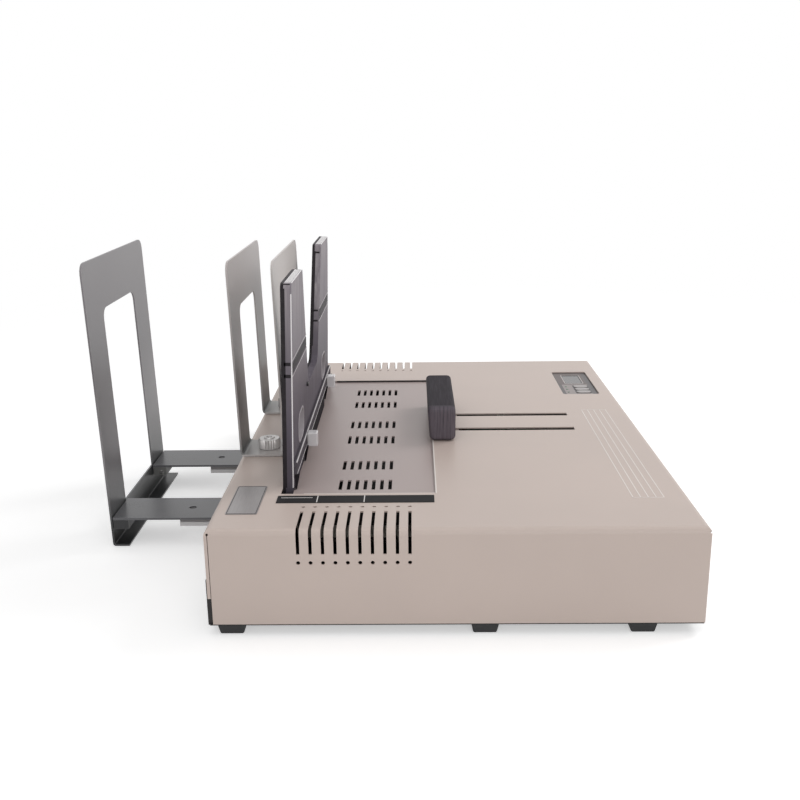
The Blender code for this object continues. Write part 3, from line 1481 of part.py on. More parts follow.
def button_loop(x, y, grow):
    """Outline of an oblong button."""
    radius = BUTTON_RADIUS + grow
    reach = BUTTON_STRETCH
    return arc((x, y + reach), radius, 0, 180, 8) + arc((x, y - reach), radius, 180, 360, 8)


def window_corners():
    centre_x = PANEL_CENTRE_X + PANEL_WIDTH * WINDOW_ACROSS_SHARE
    centre_y = from_rear(PANEL_REAR + PANEL_LENGTH / 2)
    low = (centre_x - WINDOW_WIDTH / 2, centre_y - WINDOW_LENGTH / 2)
    high = (centre_x + WINDOW_WIDTH / 2, centre_y + WINDOW_LENGTH / 2)
    return low, high


def led_places():
    y = from_rear(PANEL_REAR + PANEL_LENGTH * LAMP_ALONG_SHARE)
    return [(x, y) for x, _ in button_places()]


def make_panel():
    """Film overlay with a window, lamps and three buttons, under the top."""
    high_z = overlay_top_z()
    middle_z = high_z - OVERLAY_THICKNESS / 2
    half = PANEL_WIDTH / 2 + OVERLAY_MARGIN
    low = (PANEL_CENTRE_X - half, from_rear(PANEL_REAR + PANEL_LENGTH + OVERLAY_MARGIN))
    high = (PANEL_CENTRE_X + half, from_rear(PANEL_REAR - OVERLAY_MARGIN))
    loops = [rectangle(low, high)]
    loops.append(rectangle(*window_corners()))
    for x, y in button_places():
        loops.append(button_loop(x, y, BUTTON_GAP))
    for x, y in led_places():
        loops.append(arc((x, y), LED_RADIUS + BUTTON_GAP, 0, 330, 11))
    overlay = top_plate("panel_overlay", loops, OVERLAY_THICKNESS, middle_z)
    add_part("panel_overlay", overlay, "panel_film")
    low, high = window_corners()
    gap = SEAT_GAP
    loop = rectangle((low[0] + gap, low[1] + gap), (high[0] - gap, high[1] - gap))
    window = top_plate("display_window", [loop], OVERLAY_THICKNESS, middle_z - gap)
    add_part("display_window", window, "dark_label")
    make_buttons(high_z)
    make_control_board(high_z)


def make_buttons(high_z):
    for index, (x, y) in enumerate(button_places()):
        name = f"button_{index + 1}"
        loop = button_loop(x, y, 0.0)
        centre_z = high_z + BUTTON_PROUD - BUTTON_DEPTH / 2
        button = add_part(name, top_plate(name, [loop], BUTTON_DEPTH, centre_z), "button_film")
        smooth(button.data)


def make_control_board(high_z):
    """Circuit board on posts, with its switches, lamps and driver parts."""
    board_high = high_z - BOARD_DROP
    board_low = board_high - BOARD_SHEET
    half = PANEL_WIDTH / 2
    low = (PANEL_CENTRE_X - half, from_rear(PANEL_REAR + PANEL_LENGTH), board_low)
    high = (PANEL_CENTRE_X + half, from_rear(PANEL_REAR), board_high)
    board = add_part("control_board", box_mesh("control_board", (low, high)), "circuit_board")
    seat = board_high - JOIN_DEPTH
    switch_high = high_z + BUTTON_PROUD - BUTTON_DEPTH - BUTTON_TRAVEL - BUTTON_GAP
    lamp_high = high_z + BUTTON_PROUD / 2
    post_high = high_z - OVERLAY_THICKNESS - SEAT_GAP
    inset = 2 * PANEL_POST_RADIUS
    shape = bmesh.new()
    for x, y in button_places():
        reach = SWITCH_SIZE / 2
        add_box_to(shape, (x - reach, y - reach, seat), (x + reach, y + reach, switch_high))
    for x, y in led_places():
        centre = (x, y, (seat + lamp_high) / 2)
        add_rod_to(shape, centre, (0, 0, 1), LED_RADIUS, lamp_high - seat, 12)
    for x in (low[0] + inset, high[0] - inset):
        for y in (low[1] + inset, high[1] - inset):
            centre = (x, y, (post_high + seat) / 2)
            add_rod_to(shape, centre, (0, 0, 1), PANEL_POST_RADIUS, post_high - seat, 10)
    join(board, "control_board_parts", finish_mesh("control_board_parts", shape))
    return board


def make_inlet():
    """Mains inlet: a flanged housing open to the rear."""
    half = INLET_WIDTH / 2
    rise = INLET_HEIGHT / 2
    flange_y = from_rear(-REAR_STEP - SEAT_GAP)
    low = (INLET_X - half, flange_y - INLET_DEPTH, INLET_Z - rise)
    high = (INLET_X + half, flange_y + INLET_FLANGE / 2, INLET_Z + rise)
    inlet = add_part("mains_inlet", box_mesh("mains_inlet", (low, high)), "black_plastic")
    flange_low = (INLET_X - INLET_FLANGE_WIDTH / 2, flange_y, INLET_Z - INLET_FLANGE_HEIGHT / 2)
    flange_high = (INLET_X + INLET_FLANGE_WIDTH / 2, flange_y + INLET_FLANGE, INLET_Z + INLET_FLANGE_HEIGHT / 2)
    flange = add_cutter("inlet_flange", box_mesh("inlet_flange", (flange_low, flange_high)))
    cut(inlet, flange, "UNION")
    wall = INLET_WALL
    mouth_y = flange_y + INLET_FLANGE + CUT_MARGIN
    recess_low = (low[0] + wall, flange_y + INLET_FLANGE - INLET_RECESS, low[2] + wall)
    recess_high = (high[0] - wall, mouth_y, high[2] - wall)
    cut(inlet, add_cutter("inlet_recess", box_mesh("inlet_recess", (recess_low, recess_high))))
    return inlet


def make_rocker():
    """Power switch: a framed housing and a rocker that tips about its axis."""
    half = ROCKER_WIDTH / 2
    rise = ROCKER_HEIGHT / 2
    face_y = from_rear(-REAR_STEP)
    wall = ROCKER_WALL
    low = (ROCKER_X - half, face_y - ROCKER_DEPTH, INLET_Z - rise)
    high = (ROCKER_X + half, face_y + wall, INLET_Z + rise)
    housing = add_part("switch_housing", box_mesh("switch_housing", (low, high)), "black_plastic")
    cavity_low = (low[0] + wall, face_y - ROCKER_DEPTH + 2 * wall, low[2] + wall)
    cavity_high = (high[0] - wall, high[1] + CUT_MARGIN, high[2] - wall)
    cut(housing, add_cutter("switch_cavity", box_mesh("switch_cavity", (cavity_low, cavity_high))))
    gap = RUN_GAP
    length = cavity_high[0] - cavity_low[0] - 2 * gap
    pivot_y = face_y - ROCKER_PROUD / 2
    rise_in = length / 2 * math.tan(ROCKER_ANGLE)
    crown = face_y + wall + ROCKER_PROUD - pivot_y
    reach = length / 2
    swing = reach - crown * math.sin(ROCKER_ANGLE) / 2
    loop = [
        (-swing, 0.0),
        (-swing * 0.55, -rise_in),
        (swing * 0.55, -rise_in),
        (swing, 0.0),
        (swing * 0.92, crown * 0.75),
        (0.0, crown * 0.35),
        (-swing * 0.92, crown * 0.75),
    ]
    thickness = cavity_high[2] - cavity_low[2] - 2 * gap
    mesh = outline_mesh("power_rocker", [loop], thickness, Matrix.Identity(4))
    rocker = add_part("power_rocker", mesh, "black_plastic")
    rocker.location = (ROCKER_X, pivot_y, INLET_Z)
    rocker.rotation_euler = (0, 0, -ROCKER_ANGLE)
    return rocker


def make_fuse_holder():
    face_y = from_rear(-REAR_STEP - SEAT_GAP)
    cap = (FUSE_CAP_X, face_y + FUSE_CAP_PROUD / 2, INLET_Z)
    body = (FUSE_CAP_X, face_y - FUSE_BODY_DEPTH / 2, INLET_Z)
    mesh = rod_mesh("fuse_holder", [(cap, (0, 1, 0), FUSE_CAP_RADIUS, FUSE_CAP_PROUD)], 18)
    holder = add_part("fuse_holder", mesh, "black_plastic")
    barrel = rod_mesh("fuse_barrel", [(body, (0, 1, 0), FUSE_BODY_RADIUS, FUSE_BODY_DEPTH + SEAT_GAP)], 18)
    cut(holder, add_cutter("fuse_barrel", barrel), "UNION")
    return holder


def make_supply():
    """Supply board on posts, with its large parts."""
    board_low = FLOOR_Z + SUPPLY_LIFT
    board_high = board_low + BOARD_SHEET
    half = SUPPLY_WIDTH / 2
    low = (SUPPLY_CENTRE_X - half, from_rear(SUPPLY_REAR + SUPPLY_LENGTH), board_low)
    high = (SUPPLY_CENTRE_X + half, from_rear(SUPPLY_REAR), board_high)
    board = add_part("power_board", box_mesh("power_board", (low, high)), "circuit_board")
    shape = bmesh.new()
    foot = FLOOR_Z + SEAT_GAP
    head = board_low + JOIN_DEPTH
    inset = 2 * SPACER_RADIUS
    for x in (low[0] + inset, high[0] - inset):
        for y in (low[1] + inset, high[1] - inset):
            add_rod_to(shape, (x, y, (foot + head) / 2), (0, 0, 1), SPACER_RADIUS, head - foot, 6)
    seat = board_high - JOIN_DEPTH
    for along_share, across_share, length_share, width_share, height in SUPPLY_PART_SHARES:
        x = low[0] + SUPPLY_WIDTH * across_share
        y = low[1] + SUPPLY_LENGTH * along_share
        size_x = SUPPLY_WIDTH * width_share
        size_y = SUPPLY_LENGTH * length_share
        add_box_to(shape, (x, y, seat), (x + size_x, y + size_y, seat + height))
    for across_share in SUPPLY_CAP_SHARES:
        x = low[0] + SUPPLY_WIDTH * across_share
        y = low[1] + SUPPLY_LENGTH * SUPPLY_CAP_ALONG_SHARE
        centre = (x, y, seat + SUPPLY_CAP_HEIGHT / 2)
        add_rod_to(shape, centre, (0, 0, 1), SUPPLY_CAP_RADIUS, SUPPLY_CAP_HEIGHT, 14)
    join(board, "power_board_parts", finish_mesh("power_board_parts", shape))
    return board


RELAY_HEIGHT = 0.015
TERMINAL_HEIGHT = 0.010
SINK_HEIGHT = 0.022
SUPPLY_PART_SHARES = (
    (0.08, 0.08, 0.26, 0.20, RELAY_HEIGHT),
    (0.08, 0.32, 0.26, 0.20, RELAY_HEIGHT),
    (0.80, 0.12, 0.12, 0.70, TERMINAL_HEIGHT),
    (0.46, 0.15, 0.08, 0.60, SINK_HEIGHT),
)
SUPPLY_CAP_SHARES = (0.62, 0.80)
SUPPLY_CAP_ALONG_SHARE = 0.22
SUPPLY_CAP_HEIGHT = 0.016
SUPPLY_CAP_RADIUS = 0.005


def make_transformer():
    """Control transformer: a laminated core round its winding."""
    low_z = FLOOR_Z + SEAT_GAP
    low_x = CORE_X - CORE_WIDTH / 2
    rear = from_rear(CORE_REAR)
    limb = CORE_LIMB
    outer = rectangle((low_x, low_z), (low_x + CORE_WIDTH, low_z + CORE_HEIGHT))
    hole = rectangle((low_x + limb, low_z + limb), (low_x + CORE_WIDTH - limb, low_z + CORE_HEIGHT - limb))
    middle = rear - CORE_LENGTH / 2
    core = front_plate("transformer", [outer, hole], CORE_LENGTH - 2 * limb, middle)
    core = add_part("transformer", core, "zinc_sheet")
    low = (low_x + limb - JOIN_DEPTH, rear - CORE_LENGTH, low_z + limb - JOIN_DEPTH)
    high = (low_x + CORE_WIDTH - limb + JOIN_DEPTH, rear, low_z + CORE_HEIGHT - limb + JOIN_DEPTH)
    join(core, "transformer_winding", box_mesh("transformer_winding", (low, high)))
    return core


def build():
    clear_scene()
    COLLECTIONS["parts"] = make_collection(PARTS_NAME)
    COLLECTIONS["cutters"] = make_collection("cutters")
    make_top_cover()
    make_base()
    make_feet()
    make_guide_rods()
    make_cross_members()
    make_bushes()
    make_tray()
    make_clamp()
    make_clamp_foot()
    make_paper_stops()
    make_clamp_bracket()
    make_handle()
    make_heater()
    make_outer_stand()
    make_inner_stand()
    make_studs()
    make_thumb_nuts()
    make_arms()
    make_guides()
    make_clamp_blocks()
    make_panel()
    make_inlet()
    make_rocker()
    make_fuse_holder()
    make_supply()
    make_transformer()


build()
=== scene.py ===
"""Looks of the thermal binding machine: finishes, trim, wiring, light and camera."""
import logging
import math
from collections.abc import Sequence
from dataclasses import dataclass, field, replace
from enum import Enum
from functools import partial

import bmesh
import bpy
from mathutils import Matrix, Vector


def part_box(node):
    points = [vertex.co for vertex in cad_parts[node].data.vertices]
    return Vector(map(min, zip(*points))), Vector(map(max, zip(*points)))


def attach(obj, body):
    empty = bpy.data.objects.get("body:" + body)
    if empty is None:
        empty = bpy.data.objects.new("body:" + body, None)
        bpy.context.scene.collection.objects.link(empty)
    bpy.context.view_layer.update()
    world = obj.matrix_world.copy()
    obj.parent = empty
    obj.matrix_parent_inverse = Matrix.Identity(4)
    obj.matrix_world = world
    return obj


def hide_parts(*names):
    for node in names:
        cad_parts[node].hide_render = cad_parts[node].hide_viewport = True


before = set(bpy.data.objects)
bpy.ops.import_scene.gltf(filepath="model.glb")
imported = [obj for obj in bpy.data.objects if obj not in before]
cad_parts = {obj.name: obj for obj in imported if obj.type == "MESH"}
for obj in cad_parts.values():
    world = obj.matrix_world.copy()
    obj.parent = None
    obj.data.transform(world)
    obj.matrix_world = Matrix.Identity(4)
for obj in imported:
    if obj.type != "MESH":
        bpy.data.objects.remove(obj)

LOG = logging.getLogger("binding_machine")
Flat = Sequence[float]
Point = tuple[float, float, float]
Colour = tuple[float, float, float]
Outline = list[tuple[float, float]]

CARRIAGE = "carriage"
RACK = "rack"
ROOT = "root"
SIDES = (("left", -1), ("right", 1))
WHITE = (1.0, 1.0, 1.0)
UPRIGHT = Matrix.Rotation(math.pi / 2, 4, "X")


# --- Shader sockets -------------------------------------------------------


class Graph:
    """Node tree of a material or of the world, through which every node is made."""

    def __init__(self, owner: bpy.types.Material | bpy.types.World, ending: str) -> None:
        """Empty the owner's tree and give it an output node of this type.

        Args:
            owner: The material or the world.
            ending: Type of its output node.
        """
        owner.use_nodes = True
        self.owner = owner
        self.tree = owner.node_tree
        self.tree.nodes.clear()
        self.ending = self.node(ending)

    @classmethod
    def of_material(cls, name: str) -> "Graph":
        """Tree of a new material."""
        return cls(bpy.data.materials.new(name), "ShaderNodeOutputMaterial")

    def node(self, kind: str, inputs: dict | None = None, **settings) -> bpy.types.Node:
        """Make one node.

        Args:
            kind: The node's Blender type.
            inputs: Values or sockets for its inputs, by name or index.
            **settings: Properties to set on the node.

        Returns:
            The new node.
        """
        made = self.tree.nodes.new(kind)
        for key, value in settings.items():
            setattr(made, key, value)
        for key, value in (inputs or {}).items():
            self.feed(made.inputs[key], value)
        return made

    def out(
        self, kind: str, inputs: dict | None = None, output: int | str = 0, **settings
    ) -> "Socket":
        """Make one node and hand out one of its outputs."""
        return Socket(self, self.node(kind, inputs, **settings).outputs[output])

    def feed(self, target: bpy.types.NodeSocket, value: "Socket | float | Point") -> None:
        """Link a socket to an input, or set the input's own value.

        Args:
            target: The input.
            value: A socket to link, or a value.
        """
        if isinstance(value, Socket):
            self.tree.links.new(value.socket, target)
        elif isinstance(value, tuple) and target.type == "RGBA":
            target.default_value = (*value, 1.0)
        else:
            target.default_value = value

    def end(self, shader: "Socket") -> None:
        """Let a shader be what the tree puts out."""
        self.feed(self.ending.inputs[0], shader)

    def position(self) -> "Socket":
        """Position on the object in metres."""
        return self.out("ShaderNodeTexCoord", output="Object")

    def noise(
        self, where: "Socket", scale: float, detail: float, roughness: float = 0.55
    ) -> "Socket":
        """Smooth noise from 0 to 1."""
        inputs = {"Vector": where, "Scale": scale, "Detail": detail, "Roughness": roughness}
        return self.out("ShaderNodeTexNoise", inputs, "Fac")

    def cells(self, where: "Socket", scale: float) -> "Socket":
        """Distance to the nearest of many scattered points."""
        return self.out("ShaderNodeTexVoronoi", {"Vector": where, "Scale": scale}, "Distance")

    def mix(self, share: "Socket", first: "Socket | Colour", second: "Colour") -> "Socket":
        """Blend two colours by a share from 0 to 1."""
        return self.out("ShaderNodeMix", {0: share, 6: first, 7: second}, 2, data_type="RGBA")

    def mix_shaders(self, share: "Socket", first: "Socket", second: "Socket") -> "Socket":
        """Blend two shaders by a share from 0 to 1."""
        return self.out("ShaderNodeMixShader", {0: share, 1: first, 2: second})

    def light(self, kind: str, strength: float) -> "Socket":
        """White light from an emission or background shader."""
        return self.out(kind, {"Color": WHITE, "Strength": strength})

    def bump(self, height: "Socket", strength: float, distance: float) -> "Socket":
        """Surface relief from a height."""
        inputs = {"Height": height, "Strength": strength, "Distance": distance}
        return self.out("ShaderNodeBump", inputs, "Normal")

    def edge_share(self, radius: float) -> "Socket":
        """Close to 1 on sharp edges, and 0 on flat faces.

        Args:
            radius: How far from an edge it shows, in metres.

        Returns:
            The share.
        """
        bevel = self.out("ShaderNodeBevel", {"Radius": radius}, "Normal", samples=6)
        normal = self.out("ShaderNodeNewGeometry", output="Normal")
        inputs = {0: bevel, 1: normal}
        return 1.0 - self.out("ShaderNodeVectorMath", inputs, "Value", operation="DOT_PRODUCT")

    def seen(self) -> "Socket":
        """1 for what is seen straight, mirrored or through something clear.

        Returns:
            The flag, 0 for rays that only carry light.
        """
        path = self.node("ShaderNodeLightPath").outputs
        direct, mirrored, through = (
            Socket(self, path[f"Is {ray} Ray"]) for ray in ("Camera", "Glossy", "Transmission")
        )
        return (direct + mirrored + through).clamped()


class Socket:
    """An output socket that can be used in sums."""

    def __init__(self, graph: Graph, socket: bpy.types.NodeSocket) -> None:
        """Wrap a socket of this graph."""
        self.graph = graph
        self.socket = socket

    def _math(
        self, operation: str, first: "Socket | float", second: "Socket | float", clamp: bool = False
    ) -> "Socket":
        """Result of a sum, clamped to 0 and 1 where that is asked for."""
        inputs = {0: first, 1: second}
        return self.graph.out("ShaderNodeMath", inputs, operation=operation, use_clamp=clamp)

    def __add__(self, other: "Socket | float") -> "Socket":
        """This plus another."""
        return self._math("ADD", self, other)

    def __sub__(self, other: "Socket | float") -> "Socket":
        """This minus another."""
        return self._math("SUBTRACT", self, other)

    def __rsub__(self, other: "Socket | float") -> "Socket":
        """Another minus this."""
        return self._math("SUBTRACT", other, self)

    def __mul__(self, other: "Socket | float") -> "Socket":
        """This times another."""
        return self._math("MULTIPLY", self, other)

    def clamped(self) -> "Socket":
        """This, kept between 0 and 1."""
        return self._math("ADD", self, 0.0, clamp=True)

    def ranged(self, low: float, high: float, to_low: float, to_high: float) -> "Socket":
        """Map a range onto another, clamped at both ends."""
        values = (self, low, high, to_low, to_high)
        return self.graph.out("ShaderNodeMapRange", dict(enumerate(values)))

    def scaled(self, factors: Point) -> "Socket":
        """A position stretched by a factor along each axis."""
        inputs = {0: self, 1: factors}
        return self.graph.out("ShaderNodeVectorMath", inputs, operation="MULTIPLY")

    def length(self) -> "Socket":
        """How far a position is from the origin."""
        return self.graph.out("ShaderNodeVectorMath", {0: self}, "Value", operation="LENGTH")

    def part(self, axis: str) -> "Socket":
        """One of a position's three values."""
        return self.graph.out("ShaderNodeSeparateXYZ", {0: self}, axis)


# --- Finishes -------------------------------------------------------------


class Surface(Enum):
    """Ways in which a surface is finished."""

    POWDER_COAT = "powder coat"
    SATIN_PAINT = "satin paint"
    BRUSHED_METAL = "brushed metal"
    MOULDED_PLASTIC = "moulded plastic"
    RUBBED_PLASTIC = "rubbed plastic"
    SMOKY_PLASTIC = "smoky plastic"
    CLEAR_PLASTIC = "clear plastic"
    RUBBER = "rubber"
    FILM = "printed film"
    BOARD = "circuit board"
    CERAMIC = "ceramic"


CELLULAR = (Surface.MOULDED_PLASTIC, Surface.RUBBED_PLASTIC)
SPECK_SCALE, SPECK_SHARE = 1400.0, 0.35
TRACK_SCALE, TRACK_COLOUR = 330.0, (0.10, 0.30, 0.14)
EDGE_RADIUS, EDGE_SHARE = 0.0008, 0.6
RELIEF_STRENGTH, RELIEF_HEIGHT = 0.6, 0.00004
COAT_ROUGHNESS = 0.08


@dataclass(frozen=True)
class Marks:
    """Paler marks that a noise lays over a surface."""

    stretch: Point  # factors that draw the noise out along an axis
    scale: float  # scale of the noise
    detail: float  # octaves of the noise
    roughness: float  # roughness of the noise
    start: float  # noise at which the marks start
    full: float  # noise at which they are strongest
    most: float  # their greatest share
    factor: float = 1.0  # how much paler than the surface they are
    lift: float = 0.0  # what is added to that
    colour: Colour | None = None  # their colour, if it isn't taken from the surface


DUST = (0.09, 0.085, 0.08)
MARKS = {
    Surface.SATIN_PAINT: Marks((1.0, 1.0, 0.15), 160.0, 6.0, 0.7, 0.62, 0.8, 0.25, 1.3, 0.02),
    # Painted reflections: pale vertical streaks on the smoky plastic.
    Surface.SMOKY_PLASTIC: Marks((1.0, 1.0, 0.08), 150.0, 4.0, 0.6, 0.40, 0.70, 0.8, 1.45, 0.008),
    Surface.RUBBED_PLASTIC: Marks((0.06, 1.0, 0.06), 620.0, 4.0, 0.65, 0.45, 0.72, 0.8, 1.9, 0.006),
    Surface.RUBBER: Marks((1.0, 1.0, 1.0), 220.0, 5.0, 0.7, 0.5, 0.8, 0.25, colour=DUST),
}


@dataclass(frozen=True)
class Blend:
    """A colour that takes over along one axis of an object; used here for painted light and shade.
    """

    axis: str  # X, Y or Z
    start: float  # where the colour starts to show, in metres
    full: float  # where it has taken over
    colour: Colour  # the linear colour

    def over(self, graph: Graph, place: Socket, colour: Socket) -> Socket:
        """Lay the blend over a colour."""
        share = place.part(self.axis).ranged(self.start, self.full, 0.0, 1.0)
        return graph.mix(share, colour, self.colour)


@dataclass(frozen=True)
class Finish:
    """One material: its surface, colour, how worn and painted bright its edges are and how glossy
    it is.
    """

    name: str  # the material's name
    colour: Colour  # linear base colour
    roughness: float = 0.45  # middle roughness
    metallic: float = 0.0  # 1 for bare metal
    tone: float = 0.06  # how far the colour wanders, as a share
    grain: float = 2500.0  # scale of the fine relief, in waves per metre
    wear: float = 0.15  # how much lighter the sharp edges are, as a share: worn edges and painted highlights
    stretch: Point = (1.0, 1.0, 1.0)  # factors that draw the grain out along an axis
    alpha: float = 1.0  # 1 for opaque
    coat: float = 0.0  # weight of a clear coat
    specular: float = 0.5  # level of the shader's own gloss
    blends: tuple[Blend, ...] = ()  # colours that take over along an axis: painted light and shade
    slot: str = field(kw_only=True)  # the record's material slot it belongs to
    surface: Surface = field(kw_only=True)  # how the surface is finished

    def tint(self, factor: float, lift: float = 0.0) -> Colour:
        """The base colour times a factor and lifted, 1 at most."""
        return tuple(min(value * factor + lift, 1.0) for value in self.colour)

    def build(self) -> bpy.types.Material:
        """Make the material's nodes.

        Returns:
            The finished material.
        """
        graph = Graph.of_material(self.name)
        place = graph.position()
        broad = graph.noise(place, 9.0, 3.0)
        fine = graph.noise(place.scaled(self.stretch), self.grain, 5.0, 0.6)
        dark, light = self.tint(1 - self.tone), self.tint(1 + self.tone)
        colour = graph.mix(broad.ranged(0.3, 0.7, 0.0, 1.0), dark, light)
        for blend in self.blends:
            colour = blend.over(graph, place, colour)
        colour = self._detail(graph, place, fine, colour)
        # Sharp edges lighter: partly wear, partly painted highlights.
        if self.wear > 0:
            edges = (graph.edge_share(EDGE_RADIUS) * 3.0).clamped()
            share = edges * fine.ranged(0.3, 0.7, 0.4, 1.0) * EDGE_SHARE
            colour = graph.mix(share, colour, self.tint(1 + 2 * self.wear, 0.1 * self.wear))
        rough = (fine - 0.5) * 0.14 + (broad - 0.5) * 0.10 + self.roughness
        height = self._height(graph, place, fine)
        inputs = {
            "Base Color": colour,
            "Roughness": rough.clamped(),
            "Metallic": self.metallic,
            "Normal": graph.bump(height, RELIEF_STRENGTH, RELIEF_HEIGHT),
            "Alpha": self.alpha,
            "Coat Weight": self.coat,
            "Coat Roughness": COAT_ROUGHNESS,
            "Specular IOR Level": self.specular,
        }
        graph.end(graph.out("ShaderNodeBsdfPrincipled", inputs))
        graph.owner.diffuse_color = (*self.colour, 1.0)
        return graph.owner

    def _detail(self, graph: Graph, place: Socket, fine: Socket, colour: Socket) -> Socket:
        """Colour detail that belongs to one kind of surface.

        Args:
            graph: The material's nodes.
            place: Position on the object.
            fine: The finish's fine noise.
            colour: The colour so far.

        Returns:
            The colour with its detail.
        """
        if self.surface is Surface.POWDER_COAT:
            specks = graph.cells(place, SPECK_SCALE).ranged(0.05, 0.28, 1.0, 0.0)
            return graph.mix(specks * SPECK_SHARE, colour, self.tint(1.10))
        if self.surface is Surface.BRUSHED_METAL:
            return graph.mix(fine.ranged(0.35, 0.65, 0.0, 0.55), colour, self.tint(0.82))
        if self.surface is Surface.BOARD:
            tracks = graph.cells(place.scaled((1.0, 1.0, 0.05)), TRACK_SCALE)
            return graph.mix(tracks.ranged(0.42, 0.46, 0.0, 0.6), colour, TRACK_COLOUR)
        if self.surface in MARKS:
            marks = MARKS[self.surface]
            where = place.scaled(marks.stretch)
            noise = graph.noise(where, marks.scale, marks.detail, marks.roughness)
            share = noise.ranged(marks.start, marks.full, 0.0, marks.most)
            return graph.mix(share, colour, marks.colour or self.tint(marks.factor, marks.lift))
        return colour

    def _height(self, graph: Graph, place: Socket, fine: Socket) -> Socket:
        """Height of the fine relief for this kind of surface.

        Args:
            graph: The material's nodes.
            place: Position on the object.
            fine: The finish's fine noise.

        Returns:
            The height.
        """
        if self.surface is Surface.POWDER_COAT:
            return graph.cells(place, self.grain) + fine * 0.5
        if self.surface in CELLULAR:
            return graph.cells(place, self.grain)
        return fine


COATED = partial(
    Finish, slot="beige_paint", surface=Surface.POWDER_COAT, tone=0.03, grain=2200.0
)
PAINTED = partial(Finish, slot="grey_paint", surface=Surface.SATIN_PAINT)
METAL = partial(Finish, surface=Surface.BRUSHED_METAL)
DRAWN = partial(METAL, slot="aluminium", grain=1200.0, stretch=(1.0, 0.04, 1.0))
ROLLED = partial(METAL, slot="zinc_sheet", grain=900.0, stretch=(1.0, 0.05, 1.0))
CLEAR_KIND = partial(Finish, slot="smoky_plastic", surface=Surface.CLEAR_PLASTIC)
MOULDED = partial(Finish, slot="black_plastic", surface=Surface.MOULDED_PLASTIC, grain=1800.0)
SOFT = partial(Finish, slot="rubber", surface=Surface.RUBBER)
PRINTED = partial(Finish, slot="panel_film", surface=Surface.FILM)

CASE = COATED("warm_beige_coat", (0.550, 0.458, 0.412), 0.40, wear=0.12)
TRAY = COATED("tray_coat", (0.385, 0.315, 0.300), 0.36, wear=0.10)
BASE = PAINTED(
    "black_base_coat", (0.022, 0.020, 0.020), 0.5,
    slot="black_sheet", tone=0.2, wear=0.3, specular=0.3,
)
DARK_PAINT = PAINTED(
    "dark_grey_paint", (0.150, 0.138, 0.146), 0.34, tone=0.15, wear=0.5,
    # Painted light and shade: lighter at the top and again lower down, darker towards the foot and
    # near black at the foot, where shade falls.
    blends=(
        Blend("Z", 0.150, 0.244, (0.235, 0.220, 0.228)),
        Blend("Z", 0.145, 0.100, (0.235, 0.220, 0.230)),
        Blend("Z", 0.075, 0.026, (0.072, 0.075, 0.078)),
        Blend("Z", 0.024, 0.018, (0.014, 0.015, 0.016)),
    ),
)
LIGHT_PAINT = PAINTED(
    "light_grey_paint", (0.335, 0.310, 0.305), 0.36,
    slot="light_grey_paint", tone=0.10, wear=0.4,
    # Painted light and shade: lighter towards the top, darker low on the uprights where shade
    # falls, and a painted reflection that makes the foot sheet and its front lighter.
    blends=(
        Blend("Z", 0.150, 0.240, (0.47, 0.43, 0.42)),
        Blend("Z", 0.105, 0.084, (0.155, 0.160, 0.160)),
        Blend("Y", 0.106, 0.094, (0.56, 0.52, 0.50)),
        Blend("Z", 0.0832, 0.0826, (0.50, 0.48, 0.47)),
    ),
)
ARM_PAINT = PAINTED("arm_paint", (0.105, 0.105, 0.112), 0.30, tone=0.12, wear=0.9)
# Shaded and lit copies of one paint: this one is painted dark for shade and lighter towards +X for
# light; the next one is painted lighter for light.
SHADED_BLOCK = PAINTED(
    "block_paint", (0.040, 0.040, 0.042), tone=0.12, wear=0.5, specular=0.3,
    blends=(Blend("X", -0.040, 0.030, (0.16, 0.16, 0.16)),),
)
LIT_BLOCK = PAINTED(
    "pale_block_paint", (0.160, 0.160, 0.155), tone=0.2, wear=0.5, specular=0.3
)
ZINC = ROLLED("zinc_plate", (0.42, 0.42, 0.43), 0.38, 0.9, 0.12)
# Painted shade: dark sheet for the inner parts, which lie in shade inside the case.
INNER_SHADE = ROLLED("darkened_sheet", (0.060, 0.055, 0.052), 0.5, 0.4, 0.2)
STEEL = METAL(
    "bright_steel", (0.62, 0.61, 0.60), 0.26, 1.0, 0.08, 1400.0,
    slot="bright_steel", stretch=(1.0, 1.0, 0.08),
)
NUT_METAL = METAL(
    "nut_nickel", (0.78, 0.76, 0.75), 0.36, 0.5, 0.06, 1400.0, slot="bright_steel", wear=0.4
)
RAIL_PALE = DRAWN("rail_aluminium", (0.66, 0.64, 0.64), 0.40, 0.3, 0.04)
RAIL_SHADE = DRAWN("rail_groove", (0.19, 0.18, 0.18), 0.42, 0.5, 0.08)
PLATE = METAL(
    "bare_plate", (0.34, 0.32, 0.32), 0.36, 0.6, 0.06, 1600.0,
    slot="aluminium", stretch=(0.05, 1.0, 1.0),
)
COPPER = METAL(
    "copper_winding", (0.55, 0.24, 0.11), 0.35, 0.9, 0.1, 1800.0,
    slot="mica", stretch=(1.0, 0.05, 1.0),
)
SMOKE = Finish(
    "smoky_plastic", (0.088, 0.076, 0.094), 0.50,
    slot="smoky_plastic", surface=Surface.SMOKY_PLASTIC,
    tone=0.12, grain=700.0, wear=0.3, specular=0.12,
    # Painted light: the plate grows lighter towards its top.
    blends=(Blend("Z", 0.130, 0.232, (0.310, 0.280, 0.298)),),
)
GAP_SIDE = replace(
    SMOKE, name="gap_side_painted_light", wear=0.0,
    # Painted light: the slanted sides grow paler towards the top.
    blends=(*SMOKE.blends, Blend("Z", 0.160, 0.205, (0.36, 0.335, 0.35))),
)
# Painted light: a paler layer on the clamp's top faces.
LIT_SMOKE_TOP = CLEAR_KIND(
    "pale_smoky_plastic", (0.56, 0.53, 0.54), 0.26,
    tone=0.12, grain=120.0, wear=0.0, alpha=0.95, coat=0.2,
)
